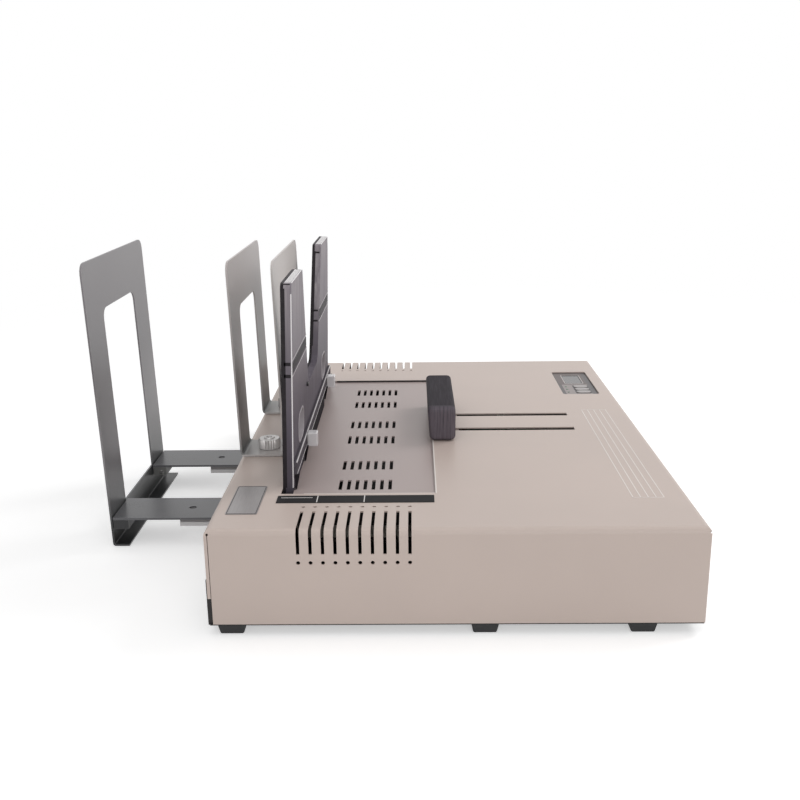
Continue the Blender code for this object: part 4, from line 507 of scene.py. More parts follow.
# Painted highlights on the clamp's edges and the bar's lips.
EDGE_HIGHLIGHT = CLEAR_KIND(
    "bright_plastic_edge", (0.80, 0.77, 0.78), 0.30, tone=0.08, grain=300.0, wear=0.0
)
CLEAR = CLEAR_KIND(
    "clear_plastic", (0.86, 0.84, 0.85), 0.14,
    slot="clear_plastic", tone=0.08, grain=500.0, alpha=0.8, coat=0.6,
)
LENS = CLEAR_KIND(
    "lamp_lens", (0.30, 0.27, 0.27), 0.15, slot="clear_plastic", tone=0.1, coat=0.6
)
WINDOW = CLEAR_KIND(
    "display_window", (0.050, 0.045, 0.047), 0.16,
    slot="dark_label", tone=0.1, coat=0.35, specular=0.3,
)
BLACK = MOULDED("black_plastic", (0.028, 0.026, 0.028), 0.42, tone=0.15, wear=0.6)
KEY = MOULDED("key_caps", (0.38, 0.355, 0.35), 0.42, slot="button_film", wear=0.3)
# Painted light: pale frames on the windows' cut walls.
WINDOW_WALL_LIGHT = MOULDED(
    "window_lining", (0.36, 0.33, 0.35), 0.40,
    slot="smoky_plastic", tone=0.12, grain=1600.0, wear=0.3,
)
CLAMP_BAR = MOULDED(
    "clamp_bar_plastic", (0.020, 0.017, 0.020), 0.70, tone=0.15, wear=0.3, specular=0.05,
    # Painted light: lighter along the bar's top.
    blends=(Blend("Z", 0.0918, 0.0926, (0.088, 0.078, 0.090)),),
)
GRIP = MOULDED(
    "grip_plastic", (0.020, 0.016, 0.021), 0.60,
    surface=Surface.RUBBED_PLASTIC, tone=0.10, grain=1500.0, wear=0.5, specular=0.08,
    # Painted light: lighter at the near end.
    blends=(Blend("X", -0.046, -0.053, (0.130, 0.112, 0.130)),),
)
GASKET = SOFT(
    "dark_gasket", (0.020, 0.017, 0.020), 0.55,
    slot="black_plastic", tone=0.12, grain=1600.0, wear=0.1, specular=0.15,
)
RUBBER = SOFT("black_rubber", (0.020, 0.020, 0.021), 0.70, tone=0.2, grain=1600.0, wear=0.4)
RED_SLEEVE = SOFT("red_sleeve", (0.085, 0.012, 0.011), 0.5, tone=0.1)
# Painted highlight on the grooves' lips.
GROOVE_HIGHLIGHT = PRINTED(
    "groove_lip", (0.46, 0.43, 0.445), 0.35, slot="smoky_plastic", tone=0.05, wear=0.0
)
# Painted highlight along the well's rim.
RIM_HIGHLIGHT = PRINTED("bare_rim", (0.74, 0.69, 0.65), 0.40, slot="beige_paint", tone=0.04, wear=0.0)
PRINT = PRINTED("pale_print", (0.80, 0.75, 0.72), slot="beige_paint", tone=0.04, wear=0.0)
STRIP = PRINTED("dark_strip", (0.019, 0.018, 0.019), 0.60, tone=0.10, wear=0.1, specular=0.10)
FILM = PRINTED("panel_film", (0.160, 0.135, 0.132), wear=0.2, specular=0.25)
SHADE_FILM = PRINTED(
    "dark_film", (0.085, 0.076, 0.078), 0.40, tone=0.12, grain=900.0, wear=0.2
)
PALE_FILM = PRINTED("pale_film", (0.32, 0.285, 0.278), tone=0.05, wear=0.1, specular=0.25)
INK = PRINTED("white_ink", (0.72, 0.69, 0.67), 0.5, tone=0.04, wear=0.0)
DARK_INK = PRINTED("dark_ink", (0.060, 0.052, 0.054), wear=0.0)
BOARD = Finish(
    "circuit_board", (0.025, 0.14, 0.06), 0.36,
    slot="circuit_board", surface=Surface.BOARD, tone=0.1, wear=0.1,
)
CERAMIC = Finish(
    "ceramic", (0.68, 0.64, 0.57), 0.6, slot="ceramic", surface=Surface.CERAMIC, grain=900.0
)
MICA = Finish(
    "mica_sheet", (0.42, 0.35, 0.26), slot="mica", surface=Surface.CERAMIC, tone=0.2, grain=700.0
)


class Finishes:
    """Builds each finish once and hands it out."""

    def __init__(self) -> None:
        """Start with nothing made."""
        self.made: dict[str, bpy.types.Material] = {}

    def get(self, finish: Finish) -> bpy.types.Material:
        """The finish's material, built the first time it is asked for.

        Args:
            finish: The finish.

        Returns:
            Its material.
        """
        if finish.name not in self.made:
            self.made[finish.name] = finish.build()
        return self.made[finish.name]


# --- Mesh helpers ---------------------------------------------------------


def corners(node: str) -> tuple[Vector, Vector]:
    """Lowest and highest corner of a CAD node."""
    low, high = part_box(node)
    return Vector(low), Vector(high)


COVER_LOW, COVER_HIGH = corners("top_cover")
REAR_Y = COVER_HIGH.y
TOP_Z = COVER_HIGH.z
CASE_FOOT_Z = COVER_LOW.z
SMOOTH_ANGLE = math.radians(35.0)
BEVEL_ANGLE = math.radians(30.0)
BEVEL_STEPS = 2
KNURL_REACH = 0.97


def at(distance: float) -> float:
    """Y of a point this far forward of the case's rear face."""
    return REAR_Y - distance


def level(height: float) -> Matrix:
    """Lays a flat outline at a height."""
    return Matrix.Translation((0, 0, height))


def standing(x: float, distance: float, z: float) -> Matrix:
    """Stands a flat outline up, its plane this far forward of the rear face."""
    return Matrix.Translation((x, at(distance), z)) @ UPRIGHT


def rounded(low: Flat, high: Flat, radius: float, by: float = 0.0, steps: int = 5) -> Outline:
    """Outline of a rectangle, grown on each side, with round corners.

    Args:
        low: Its lowest corner.
        high: Its highest corner.
        radius: Radius of the corners.
        by: How far it is grown on each side.
        steps: Steps in each corner.

    Returns:
        The outline's points, anticlockwise.
    """
    points = []
    low_x, low_y = low[0] - by + radius, low[1] - by + radius
    high_x, high_y = high[0] + by - radius, high[1] + by - radius
    centres = ((high_x, high_y), (low_x, high_y), (low_x, low_y), (high_x, low_y))
    for quarter, (x, y) in enumerate(centres):
        for step in range(steps + 1):
            angle = math.radians(90 * quarter + 90 * step / steps)
            points.append((x + radius * math.cos(angle), y + radius * math.sin(angle)))
    return points


class Shape:
    """A mesh under construction, made of several closed forms."""

    def __init__(self) -> None:
        """Start with an empty mesh."""
        self.mesh = bmesh.new()

    def _loop(self, points: list[Vector]) -> list[bmesh.types.BMVert]:
        """Corner points of one loop."""
        return [self.mesh.verts.new(point) for point in points]

    def _band(self, first: list[bmesh.types.BMVert], second: list[bmesh.types.BMVert]) -> None:
        """Faces all round between two loops with as many points.

        Args:
            first: Points of the one loop.
            second: Points of the other.
        """
        count = len(first)
        for index in range(count):
            after = (index + 1) % count
            self.mesh.faces.new((first[index], first[after], second[after], second[index]))

    def box(self, low: Point, high: Point) -> "Shape":
        """A box between two corners.

        Args:
            low: Its lowest corner.
            high: Its highest corner.

        Returns:
            The shape itself.
        """
        low, high = Vector(low), Vector(high)
        matrix = Matrix.Translation((low + high) / 2) @ Matrix.Diagonal((*(high - low), 1.0))
        bmesh.ops.create_cube(self.mesh, size=1.0, matrix=matrix)
        return self

    def slab(self, across: Flat, forward: Flat, upright: Flat) -> "Shape":
        """A box by its spans.

        Args:
            across: Its two X.
            forward: Its two distances forward of the case's rear face.
            upright: Its two Z.

        Returns:
            The shape itself.
        """
        spans = (across, [at(distance) for distance in forward], upright)
        return self.box([min(span) for span in spans], [max(span) for span in spans])

    def rod(
        self, centre: Point, axis: Point, radii: Flat, length: float, sides: int = 20
    ) -> "Shape":
        """A round bar, or a cone where its two radii differ.

        Args:
            centre: Its middle.
            axis: Its direction.
            radii: Radius at its start and at its end.
            length: Its length.
            sides: Number of its sides.

        Returns:
            The shape itself.
        """
        turn = Vector((0, 0, 1)).rotation_difference(Vector(axis)).to_matrix().to_4x4()
        bmesh.ops.create_cone(
            self.mesh,
            cap_ends=True,
            segments=sides,
            radius1=radii[0],
            radius2=radii[1],
            depth=length,
            matrix=Matrix.Translation(Vector(centre)) @ turn,
        )
        return self

    def prism(self, outline: Outline, thickness: float, matrix: Matrix) -> "Shape":
        """A flat outline given a thickness about its own plane.

        Args:
            outline: The outline's points.
            thickness: The thickness.
            matrix: Where the plane goes.

        Returns:
            The shape itself.
        """
        bottom, top = (
            self._loop([matrix @ Vector((x, y, height)) for x, y in outline])
            for height in (-thickness / 2, thickness / 2)
        )
        self.mesh.faces.new(bottom[::-1])
        self.mesh.faces.new(top)
        self._band(bottom, top)
        return self

    def ring(self, outer: Outline, inner: Outline, thickness: float, matrix: Matrix) -> "Shape":
        """A flat frame between two outlines with as many points, with a thickness.

        Args:
            outer: The outer outline.
            inner: The inner outline.
            thickness: The thickness.
            matrix: Where the plane goes.

        Returns:
            The shape itself.
        """
        half = thickness / 2
        loops = [
            self._loop([matrix @ Vector((x, y, height)) for x, y in outline])
            for outline, height in ((outer, -half), (outer, half), (inner, half), (inner, -half))
        ]
        for first, second in zip(loops, loops[1:] + loops[:1]):
            self._band(first, second)
        return self

    def turned(self, profile: Outline, centre: Point, sides: int, flute: float = 0.0) -> "Shape":
        """A turned form.

        Args:
            profile: Radius and height of each ring.
            centre: Where its axis stands.
            sides: Points in each ring.
            flute: Depth of the knurls at its widest radius.

        Returns:
            The shape itself.
        """
        widest = max(radius for radius, _ in profile)
        rings = []
        for radius, height in profile:
            depth = flute if radius > widest * KNURL_REACH else 0.0
            ring = []
            for step in range(sides):
                angle = math.tau * step / sides
                reach = radius - depth * (step % 2)
                spoke = Vector((reach * math.cos(angle), reach * math.sin(angle), height))
                ring.append(Vector(centre) + spoke)
            rings.append(self._loop(ring))
        for lower, upper in zip(rings, rings[1:]):
            self._band(lower, upper)
        return self

    def moved(self, matrix: Matrix) -> "Shape":
        """Move every point that is there so far."""
        bmesh.ops.transform(self.mesh, matrix=matrix, verts=self.mesh.verts)
        return self

    def finish(
        self, name: str, material: bpy.types.Material, bevel: float = 0.0
    ) -> bpy.types.Object:
        """Turn the shape into an object.

        Args:
            name: The object's name.
            material: Its material.
            bevel: Width of the rounding on sharp edges, in metres.

        Returns:
            The new object, linked into the scene.
        """
        bmesh.ops.recalc_face_normals(self.mesh, faces=self.mesh.faces)
        data = bpy.data.meshes.new(name)
        self.mesh.to_mesh(data)
        self.mesh.free()
        data.materials.append(material)
        data.shade_smooth()
        data.set_sharp_from_angle(angle=SMOOTH_ANGLE)
        item = linked(name, data)
        if bevel:
            step = item.modifiers.new("edges", "BEVEL")
            step.width = bevel
            step.segments = BEVEL_STEPS
            step.limit_method = "ANGLE"
            step.angle_limit = BEVEL_ANGLE
            step.harden_normals = True
        return item


def linked(name: str, data: bpy.types.ID) -> bpy.types.Object:
    """A new object with this data, linked into the scene.

    Args:
        name: The object's name.
        data: A mesh, curve, lamp or camera.

    Returns:
        The object.
    """
    item = bpy.data.objects.new(name, data)
    bpy.context.scene.collection.objects.link(item)
    return item


def wire(
    name: str, points: Sequence[Point], radius: float, material: bpy.types.Material
) -> bpy.types.Object:
    """A round lead along a smooth route.

    Args:
        name: The object's name.
        points: Points on the route.
        radius: Radius of the lead.
        material: Its material.

    Returns:
        The object.
    """
    curve = bpy.data.curves.new(name, "CURVE")
    curve.dimensions = "3D"
    curve.bevel_depth = radius
    curve.bevel_resolution = 3
    curve.use_fill_caps = True
    curve.resolution_u = 8
    spline = curve.splines.new("BEZIER")
    spline.bezier_points.add(len(points) - 1)
    for knot, place in zip(spline.bezier_points, points):
        knot.co = place
        knot.handle_left_type = "AUTO"
        knot.handle_right_type = "AUTO"
    curve.materials.append(material)
    return linked(name, curve)


# --- Sub-assemblies -------------------------------------------------------


@dataclass
class SubAssembly:
    """One group of pieces that is dressed and built together."""

    finishes: Finishes  # where materials come from
    body: str = ROOT  # the CAD body its pieces ride on

    def dress(self, finish: Finish, *nodes: str) -> None:
        """Give CAD nodes a finish.

        Args:
            finish: The finish.
            *nodes: Names of the nodes.
        """
        material = self.finishes.get(finish)
        for name in nodes:
            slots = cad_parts[name].material_slots
            for slot in slots:
                slot.link = "OBJECT"
                slot.material = material
            if not slots:
                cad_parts[name].data.materials.append(material)
            LOG.info("dressed %s in %s", name, finish.name)

    def place(
        self, item: bpy.types.Object, finish: Finish, body: str = "", stands_for: str = ""
    ) -> None:
        """Let a new piece ride on its body.

        Args:
            item: The piece.
            finish: Not used.
            body: The body, if it isn't the group's own.
            stands_for: CAD node that the piece replaces.
        """
        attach(item, body or self.body)
        if stands_for:
            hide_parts(stands_for)
        LOG.info("placed %s on %s", item.name, body or self.body)

    def add(
        self,
        shape: Shape,
        name: str,
        finish: Finish,
        bevel: float = 0.0,
        body: str = "",
        stands_for: str = "",
    ) -> None:
        """Turn a shape into a piece, and place it."""
        item = shape.finish(name, self.finishes.get(finish), bevel)
        self.place(item, finish, body, stands_for)

    def build(self) -> None:
        """Make and dress the group's pieces."""
        raise NotImplementedError


@dataclass
class Case(SubAssembly):
    """Cover, base, feet, the trim on the cover and the painted light and shade at its well."""

    well_left: float = -0.177  # X of the well's near edge
    well_right: float = 0.159  # X of the well's far edge
    well_rear: float = 0.0625  # distance of the rim's rear end from the case's rear face
    well_front: float = 0.1630  # distance of the well's front edge
    strip_width: float = 0.0142  # width of the measuring strip
    strip_gap: float = 0.0048  # space between the strip and the well
    film: float = 0.0004  # thickness of the films
    line: float = 0.0006  # width of the ruled lines
    lift: float = 0.00005  # how far the films lie above the cover

    def build(self) -> None:
        """Make and dress the case's pieces."""
        self.dress(CASE, "top_cover")
        self.dress(BASE, "base_chassis")
        self.dress(RUBBER, *(f"rubber_foot_{index}" for index in range(1, 7)))
        self._strip()
        self._plate()
        self._ruled_box()
        self._well_light_and_shade()
        self._rear_screws()
        self._foot_screws()
        self._base_edge()

    def _strip(self) -> None:
        """Measuring strip with plain divisions."""
        high_x = self.well_left - self.strip_gap
        low_x = high_x - self.strip_width
        low_z = TOP_Z + self.lift
        high_z = low_z + self.film
        strip = Shape().slab((low_x, high_x), (0.0437, 0.1608), (low_z, high_z))
        self.add(strip, "measuring_strip", STRIP, 0.00015)
        marks, width, inset = Shape(), 0.0007, 0.0006
        upright = (high_z - 0.0001, high_z + 0.00008)
        for station in (0.0735, 0.1085):
            across = (low_x + inset, high_x - inset)
            marks.slab(across, (station, station + width), upright)
        long_x = low_x + 0.0094
        marks.slab((long_x, long_x + width), (0.0465, 0.0700), upright)
        self.add(marks, "strip_marks", INK)

    def _plate(self) -> None:
        """Bare plate near the rear corner, with a thin dark border."""
        low, high = (-0.2173, at(0.0330)), (-0.1613, at(0.0100))
        base, inset = TOP_Z + self.lift, 0.0006
        plate = Shape().prism(rounded(low, high, 0.0015), self.film, level(base + self.film / 2))
        self.add(plate, "bare_plate", PLATE, 0.00012)
        outer = rounded(low, high, 0.0012, -inset)
        inner = rounded(low, high, 0.0008, -2 * inset)
        border = Shape().ring(outer, inner, 0.00016, level(base + 0.00044))
        self.add(border, "plate_border", DARK_INK)

    def _ruled_box(self) -> None:
        """Plain ruled lines near the front edge, where the real one has its notes."""
        low_x, high_x = -0.189, 0.041
        rear, front = 0.3075, 0.3305
        rows = 4
        upright = (TOP_Z + 0.00002, TOP_Z + 0.0001)
        shape = Shape()
        for index in range(rows + 1):
            station = rear + (front - rear) * index / rows
            shape.slab((low_x, high_x), (station, station + self.line), upright)
        for x in (low_x, high_x - self.line):
            shape.slab((x, x + self.line), (rear, front), upright)
        self.add(shape, "ruled_box", PRINT)

    def _well_light_and_shade(self) -> None:
        """Painted highlight round the well's rim, and a dark strip of painted shadow along its far
        edge.
        """
        left, right, front = self.well_left, self.well_right, self.well_front
        upright = (TOP_Z - 0.0011, TOP_Z + 0.00006)
        width = 0.0005
        rim = Shape().slab((left, right), (front - 2 * width, front), upright)
        rim.slab((left, left + width), (self.well_rear, front - width), upright)
        self.add(rim, "well_rim_highlight", RIM_HIGHLIGHT)
        # Painted shadow along the far edge of the well.
        upright = (TOP_Z - 0.0011, TOP_Z - 0.0002)
        seam = Shape().slab((right - 0.0014, right), (self.well_rear, front - 0.001), upright)
        self.add(seam, "well_far_painted_shadow", BASE)

    def _rear_screws(self) -> None:
        """Domed screws that hold the rear flange."""
        shape = Shape()
        for x in (-0.205, 0.205):
            centre = (x, REAR_Y + 0.0009, CASE_FOOT_Z + 0.052)
            shape.rod(centre, (0, 1, 0), (0.0032, 0.0024), 0.0016)
        self.add(shape, "rear_screws", STEEL, 0.0003)

    def _foot_screws(self) -> None:
        """Screw heads in the feet."""
        shape = Shape()
        for index in range(1, 7):
            low, high = corners(f"rubber_foot_{index}")
            centre = ((low.x + high.x) / 2, (low.y + high.y) / 2, low.z + 0.0007)
            shape.rod(centre, (0, 0, 1), (0.0026, 0.0030), 0.0012)
        self.add(shape, "foot_screws", STEEL)

    def _base_edge(self) -> None:
        """Dark lip of the base, just under the cover's side and front walls."""
        low, high = corners("base_chassis")
        inset = Vector((0.0004, 0.0004, 0.0))
        outer_low, outer_high = COVER_LOW + inset, COVER_HIGH - inset
        inner_low, inner_high = low + inset, high - inset
        top = CASE_FOOT_Z - 0.0001
        shape = Shape()
        for pair in ((outer_low.x, inner_low.x), (outer_high.x, inner_high.x)):
            corner = (max(pair), outer_high.y, top)
            shape.box((min(pair), outer_low.y, low.z), corner)
        shape.box((outer_low.x, outer_low.y, low.z), (outer_high.x, inner_low.y, top))
        self.add(shape, "base_edge", BASE)


@dataclass
class Carriage(SubAssembly):
    """Tray, clamp plate, foot, stops and handle."""

    body: str = CARRIAGE
    plate_rear: float = 0.0446  # distance of the clamp's rear foot line from the case's rear face
    backing: float = 0.0023  # thickness of the clamp's dark backing and its seat
    thickness: float = 0.0058  # thickness of the clamp plate
    foot_z: float = 0.0590  # height of the clamp's foot line
    edge_foot: float = 0.0815  # height at which its side edges come out of the tray
    lean: float = math.radians(1.7)  # lean of the clamp in radians
    groove_low: float = 0.1698  # height of the lower groove
    groove_pitch: float = 0.0092  # distance between the grooves
    groove_height: float = 0.0018  # height of a groove
    gap_floor: float = 0.1345  # height of the gap's floor
    tower_foot: float = 0.042  # half width of the gap at its floor
    tower_mouth: float = 0.081  # half width of the gap at the top
    window_width: float = 0.040  # width of a window
    window_height: float = 0.026  # height of a window
    window_z: float = 0.1155  # height of a window's middle
    window_spread: float = 0.200  # distance between the windows
    band: float = 0.0009  # how far the gasket shows on the plate's side edges
    lip: float = 0.0008  # height of the painted highlights on a groove's lips
    skin: float = 0.0002  # depth to which thin layers reach into the plate
    bar_depth: float = 0.0024  # depth of the clamp's bar
    bar_height: float = 0.0095  # height of that bar

    def __post_init__(self) -> None:
        """Work out the plate's edges, faces and tilt from the CAD."""
        low, high = corners("clamp_plate")
        self.left, self.right = low.x, high.x
        self.middle = (low.x + high.x) / 2
        rise = high.z - self.foot_z + self.backing * math.sin(self.lean)
        self.top = self.foot_z + rise / math.cos(self.lean)
        pivot = Vector((self.middle, at(self.plate_rear), self.foot_z))
        turn = Matrix.Rotation(self.lean, 4, "X")
        self.tilt = Matrix.Translation(pivot) @ turn @ Matrix.Translation(-pivot)
        self.seat = self.plate_rear + self.backing
        self.face = self.plate_rear + self.backing + self.thickness

    def build(self) -> None:
        """Make and dress the carriage's pieces."""
        self.dress(TRAY, "slide_tray")
        self.dress(SMOKE, "clamp_plate")
        self.dress(GASKET, "clamp_backing")
        self.dress(BLACK, "slide_bush_left", "slide_bush_right")
        self.dress(CLAMP_BAR, "clamp_foot")
        self.dress(GRIP, "handle_grip")
        self.dress(STEEL, "handle_stem_left", "handle_stem_right")
        self.dress(CLEAR, "paper_stop_1", "paper_stop_2")
        self.dress(ZINC, "clamp_bracket")
        self._painted_edge_highlights()
        self._side_marks()
        self._grooves()
        self._gap_sides()
        self._window_wall_light()
        self._bar_highlights()
        self._clip()

    def _lean(self, shape: Shape, name: str, finish: Finish, bevel: float = 0.0) -> None:
        """Add a piece that leans with the clamp."""
        self.add(shape.moved(self.tilt), name, finish, bevel)

    def _inner(self, side: int, height: float) -> float:
        """X of a tower's slanted inner edge at a height.

        Args:
            side: -1 for the left tower, 1 for the right one.
            height: The height.

        Returns:
            The X.
        """
        share = (height - self.gap_floor) / (self.top - self.gap_floor)
        reach = self.tower_foot + (self.tower_mouth - self.tower_foot) * share
        return self.middle + side * reach

    def _tower(self, side: int, height: float, start: float, end: float) -> Flat:
        """X span of a tower at a height.

        Args:
            side: -1 for the left tower, 1 for the right one.
            height: The height.
            start: How far in the span starts from the tower's lower X.
            end: How far in it ends from the higher X.

        Returns:
            The two X.
        """
        outer = self.middle + side * (self.right - self.middle)
        low, high = sorted((self._inner(side, height), outer))
        return low + start, high - end

    def _sides(self, proud: float) -> list[tuple[float, int, Flat]]:
        """X, direction and thin X span of both side edges."""
        edges = ((self.left, -1), (self.right, 1))
        return [(x, side, (x + side * proud, x - side * self.skin)) for x, side in edges]

    def _painted_edge_highlights(self) -> None:
        """Painted highlights along the plate's front side edges and its tops."""
        shape, proud, width = Shape(), 0.00012, 0.0006
        for _, _, across in self._sides(proud):
            forward = (self.face - 0.0007, self.face + proud)
            shape.slab(across, forward, (self.edge_foot, self.top - 0.0075))
        upright = (self.top - 0.0004, self.top + 0.00014)
        for _, side in SIDES:
            across = self._tower(side, self.top - 0.001, 0.004, 0.004)
            for rear in (self.face - width, self.seat + 0.0004):
                shape.slab(across, (rear, rear + width), upright)
        self._lean(shape, "clamp_painted_highlights", EDGE_HIGHLIGHT)

    def _side_marks(self) -> None:
        """Gasket hooks and rib ends on the plate's two side edges, and painted light on its tops.
        """
        hooks, ribs, caps = Shape(), Shape(), Shape()
        front, half, height = self.face - 0.0010, 0.0010, 0.0026
        for x, side, across in self._sides(0.00010):
            forward = (self.plate_rear, self.seat + self.band)
            hooks.slab(across, forward, (self.edge_foot, self.top - 0.0036))
            bend = x - side * 0.0023
            upright = (self.top - 0.0021, self.top - 0.0004)
            hooks.slab((bend - half, bend + half), (self.seat - 0.0005, front), upright)
            for index in range(2):
                low_z = self.groove_low + index * self.groove_pitch - 0.0014
                ribs.slab(across, (self.seat - 0.0003, front), (low_z, low_z + height))
        self._lean(hooks, "gasket_hooks", GASKET)
        self._lean(ribs, "rib_ends", GASKET)
        # Painted light on the tops of both towers.
        upright = (self.top - 0.0003, self.top + 0.00008)
        for _, side in SIDES:
            across = self._tower(side, self.top, 0.0045, 0.0045)
            caps.slab(across, (self.seat + 0.0009, self.face - 0.0009), upright)
        self._lean(caps, "clamp_tops_painted_light", LIT_SMOKE_TOP)

    def _grooves(self) -> None:
        """Painted highlights on the outer lips of the two grooves, with a band of painted shade
        between them.
        """
        lips, bands, gap = Shape(), Shape(), 0.0004
        inside = self.face - self.skin
        for _, side in SIDES:
            for index in range(2):
                height = self.groove_low + index * self.groove_pitch
                across = self._tower(side, height, 0.0008, 0.0002)
                low_z = height + (self.groove_height if index else -self.lip)
                lips.slab(across, (inside, self.face + 0.0003), (low_z, low_z + self.lip))
            low_z = self.groove_low + self.groove_height + gap
            high_z = self.groove_low + self.groove_pitch - gap
            across = self._tower(side, low_z + 0.003, 0.0012, 0.0008)
            bands.slab(across, (inside, self.face + 0.00008), (low_z, high_z))
        self._lean(lips, "groove_painted_highlights", GROOVE_HIGHLIGHT)
        # Painted shade between the grooves.
        self._lean(bands, "groove_painted_shade", GASKET)

    def _gap_sides(self) -> None:
        """Slanted sides of the gap, painted paler towards the top for light, each with its dark
        gasket and ribs.
        """
        proud, depth, half = 0.00012, 0.0004, 0.0009
        low_z, high_z = self.gap_floor + 0.0130, self.top - 0.0060
        seam = self.seat + self.band
        heights = [self.groove_low + index * self.groove_pitch + 0.0002 for index in range(2)]
        heights.append(high_z - 0.0012)
        faces, seals = Shape(), Shape()
        for _, side in SIDES:
            for height in heights:
                x = self._inner(side, height)
                forward = (self.seat, self.face - 0.0010)
                seals.slab((x - depth, x + depth), forward, (height - half, height + half))
            foot, mouth = self._inner(side, low_z), self._inner(side, high_z)
            near, deep = -side * proud, side * depth
            outline = [
                (foot + near, low_z),
                (foot + deep, low_z),
                (mouth + deep, high_z),
                (mouth + near, high_z),
            ]
            if side < 0:
                outline.reverse()
            spans = ((faces, seam + 0.0002, self.face - 0.0002), (seals, self.plate_rear, seam))
            for shape, rear, front in spans:
                shape.prism(outline, front - rear, standing(0.0, (rear + front) / 2, 0.0))
        self._lean(faces, "gap_sides", GAP_SIDE)
        self._lean(seals, "gap_seals", GASKET)

    def _window_wall_light(self) -> None:
        """Pale frames in the two windows, painted light on their cut walls."""
        shape, gap, wall, proud = Shape(), 0.0001, 0.0013, 0.0003
        depth = self.thickness + self.backing + 2 * proud
        reach = (self.window_width / 2 - gap, self.window_height / 2 - gap)
        radius = self.window_height / 2 * 0.9
        low = (-reach[0], -reach[1])
        outer = rounded(low, reach, radius, steps=8)
        inner = rounded(low, reach, radius - wall, -wall, 8)
        for _, side in SIDES:
            x = self.middle + side * self.window_spread / 2
            place = standing(x, self.plate_rear + depth / 2 - proud, self.window_z)
            shape.ring(outer, inner, depth, place)
        self._lean(shape, "window_walls_painted_light", WINDOW_WALL_LIGHT, 0.0003)

    def _bar_highlights(self) -> None:
        """Painted highlights along the top and foot of the clamp's bar."""
        low, high = corners("clamp_foot")
        low_x, high_x = low.x + 0.001, high.x - 0.001
        front, proud = high.y - self.bar_depth, 0.00012
        bar_low = high.z - self.bar_height
        shape = Shape()
        for depth, low_z, high_z in (
            (0.0006, high.z - 0.0007, high.z + proud),
            (0.0002, bar_low + 0.0001, bar_low + 0.0009),
        ):
            shape.box((low_x, front - proud, low_z), (high_x, front + depth, high_z))
        self.add(shape, "bar_painted_highlights", EDGE_HIGHLIGHT)

    def _clip(self) -> None:
        """Small dark clip on the clamp's face."""
        x, z = -0.0633, 0.1370
        reach, rise = 0.0030, 0.0013
        forward = (self.face - 0.0001, self.face + 0.0018)
        shape = Shape().slab((x - reach, x + reach), forward, (z - rise, z + rise))
        self._lean(shape, "clamp_clip", BLACK, 0.0005)


@dataclass
class CoolingRack(SubAssembly):
    """Stands, arms, rails and the nuts that hold them."""

    body: str = RACK
    bore: float = 0.00258  # radius of a nut's bore
    nut_height: float = 0.0085  # height of a nut's knurled rim
    boss_radius: float = 0.0045  # radius of its boss
    bevel: float = 0.0007  # width of its rounded edges
    flutes: int = 26  # ridges round its rim
    flute: float = 0.0009  # depth of those ridges

    def build(self) -> None:
        """Make and dress the rack's pieces."""
        self.dress(DARK_PAINT, "outer_stand")
        self.dress(LIGHT_PAINT, "inner_stand")
        self.dress(ARM_PAINT, "rack_arm_left", "rack_arm_right")
        # Painted shade on the near block, painted light on the far one.
        self.dress(SHADED_BLOCK, "arm_block_left")
        self.dress(LIT_BLOCK, "arm_block_right")
        self.dress(RAIL_PALE, "rack_rail_left", "rack_rail_right")
        self.dress(ZINC, "rack_guide_left", "rack_guide_right")
        self.dress(STEEL, "rack_stud_left", "rack_stud_right")
        for side, way in SIDES:
            self._nut(side)
            self._arm_screw(side)
            self._block_screw(side, way)
            self._rail_shade(side)

    def _nut(self, side: str) -> None:
        """Knurled thumb nut with its boss.

        Args:
            side: Left or right.
        """
        low, high = corners(f"thumb_nut_{side}")
        rim, bevel, boss = (high.x - low.x) / 2, self.bevel, self.boss_radius
        foot, shoulder, top = low.z, low.z + self.nut_height, high.z
        profile = [
            (self.bore, foot),
            (rim - bevel, foot),
            (rim, foot + bevel),
            (rim, shoulder - bevel),
            (rim - bevel, shoulder),
            (boss + 0.0001, shoulder),
            (boss, top - 0.0004),
            (boss - 0.0004, top),
            (self.bore, top),
            (self.bore, foot),
        ]
        centre = ((low.x + high.x) / 2, (low.y + high.y) / 2, 0.0)
        shape = Shape().turned(profile, centre, 2 * self.flutes, self.flute)
        name, body = f"knurled_nut_{side}", f"nut_{side}"
        self.add(shape, name, NUT_METAL, body=body, stands_for=f"thumb_nut_{side}")

    def _arm_screw(self, side: str) -> None:
        """Countersunk screw in the arm.

        Args:
            side: Left or right.
        """
        low, high = corners(f"rack_arm_{side}")
        x, y = (low.x + high.x) / 2, corners(f"rack_rail_{side}")[1].y - 0.010
        head = 0.0029
        shape = Shape().rod((x, y, high.z - 0.0013), (0, 0, 1), (0.0019, head), 0.0009)
        shape.rod((x, y, high.z - 0.00075), (0, 0, 1), (head, head), 0.0003, 24)
        self.add(shape, f"arm_screw_{side}", BLACK)

    def _block_screw(self, side: str, way: int) -> None:
        """Bright screw in the block's inner face.

        Args:
            side: Left or right.
            way: -1 for the left side, 1 for the right one.
        """
        x = corners(f"arm_block_{side}")[way < 0].x
        centre = (x - way * 0.0006, at(-0.1055), 0.0192)
        shape = Shape().rod(centre, (-way, 0, 0), (0.0026, 0.0020), 0.0012)
        self.add(shape, f"block_screw_{side}", STEEL)

    def _rail_shade(self, side: str) -> None:
        """Painted shade on the faces in the rail's side grooves.

        Args:
            side: Left or right.
        """
        low, high = corners(f"rack_rail_{side}")
        middle, half = (low.z + high.z) / 2, 0.0010
        proud, depth = 0.00005, 0.0013
        shape = Shape()
        for low_x in (low.x - proud, high.x - depth):
            corner = (low_x + proud + depth, high.y - 0.0002, middle + half)
            shape.box((low_x, low.y + 0.001, middle - half), corner)
        self.add(shape, f"rail_groove_{side}", RAIL_SHADE)


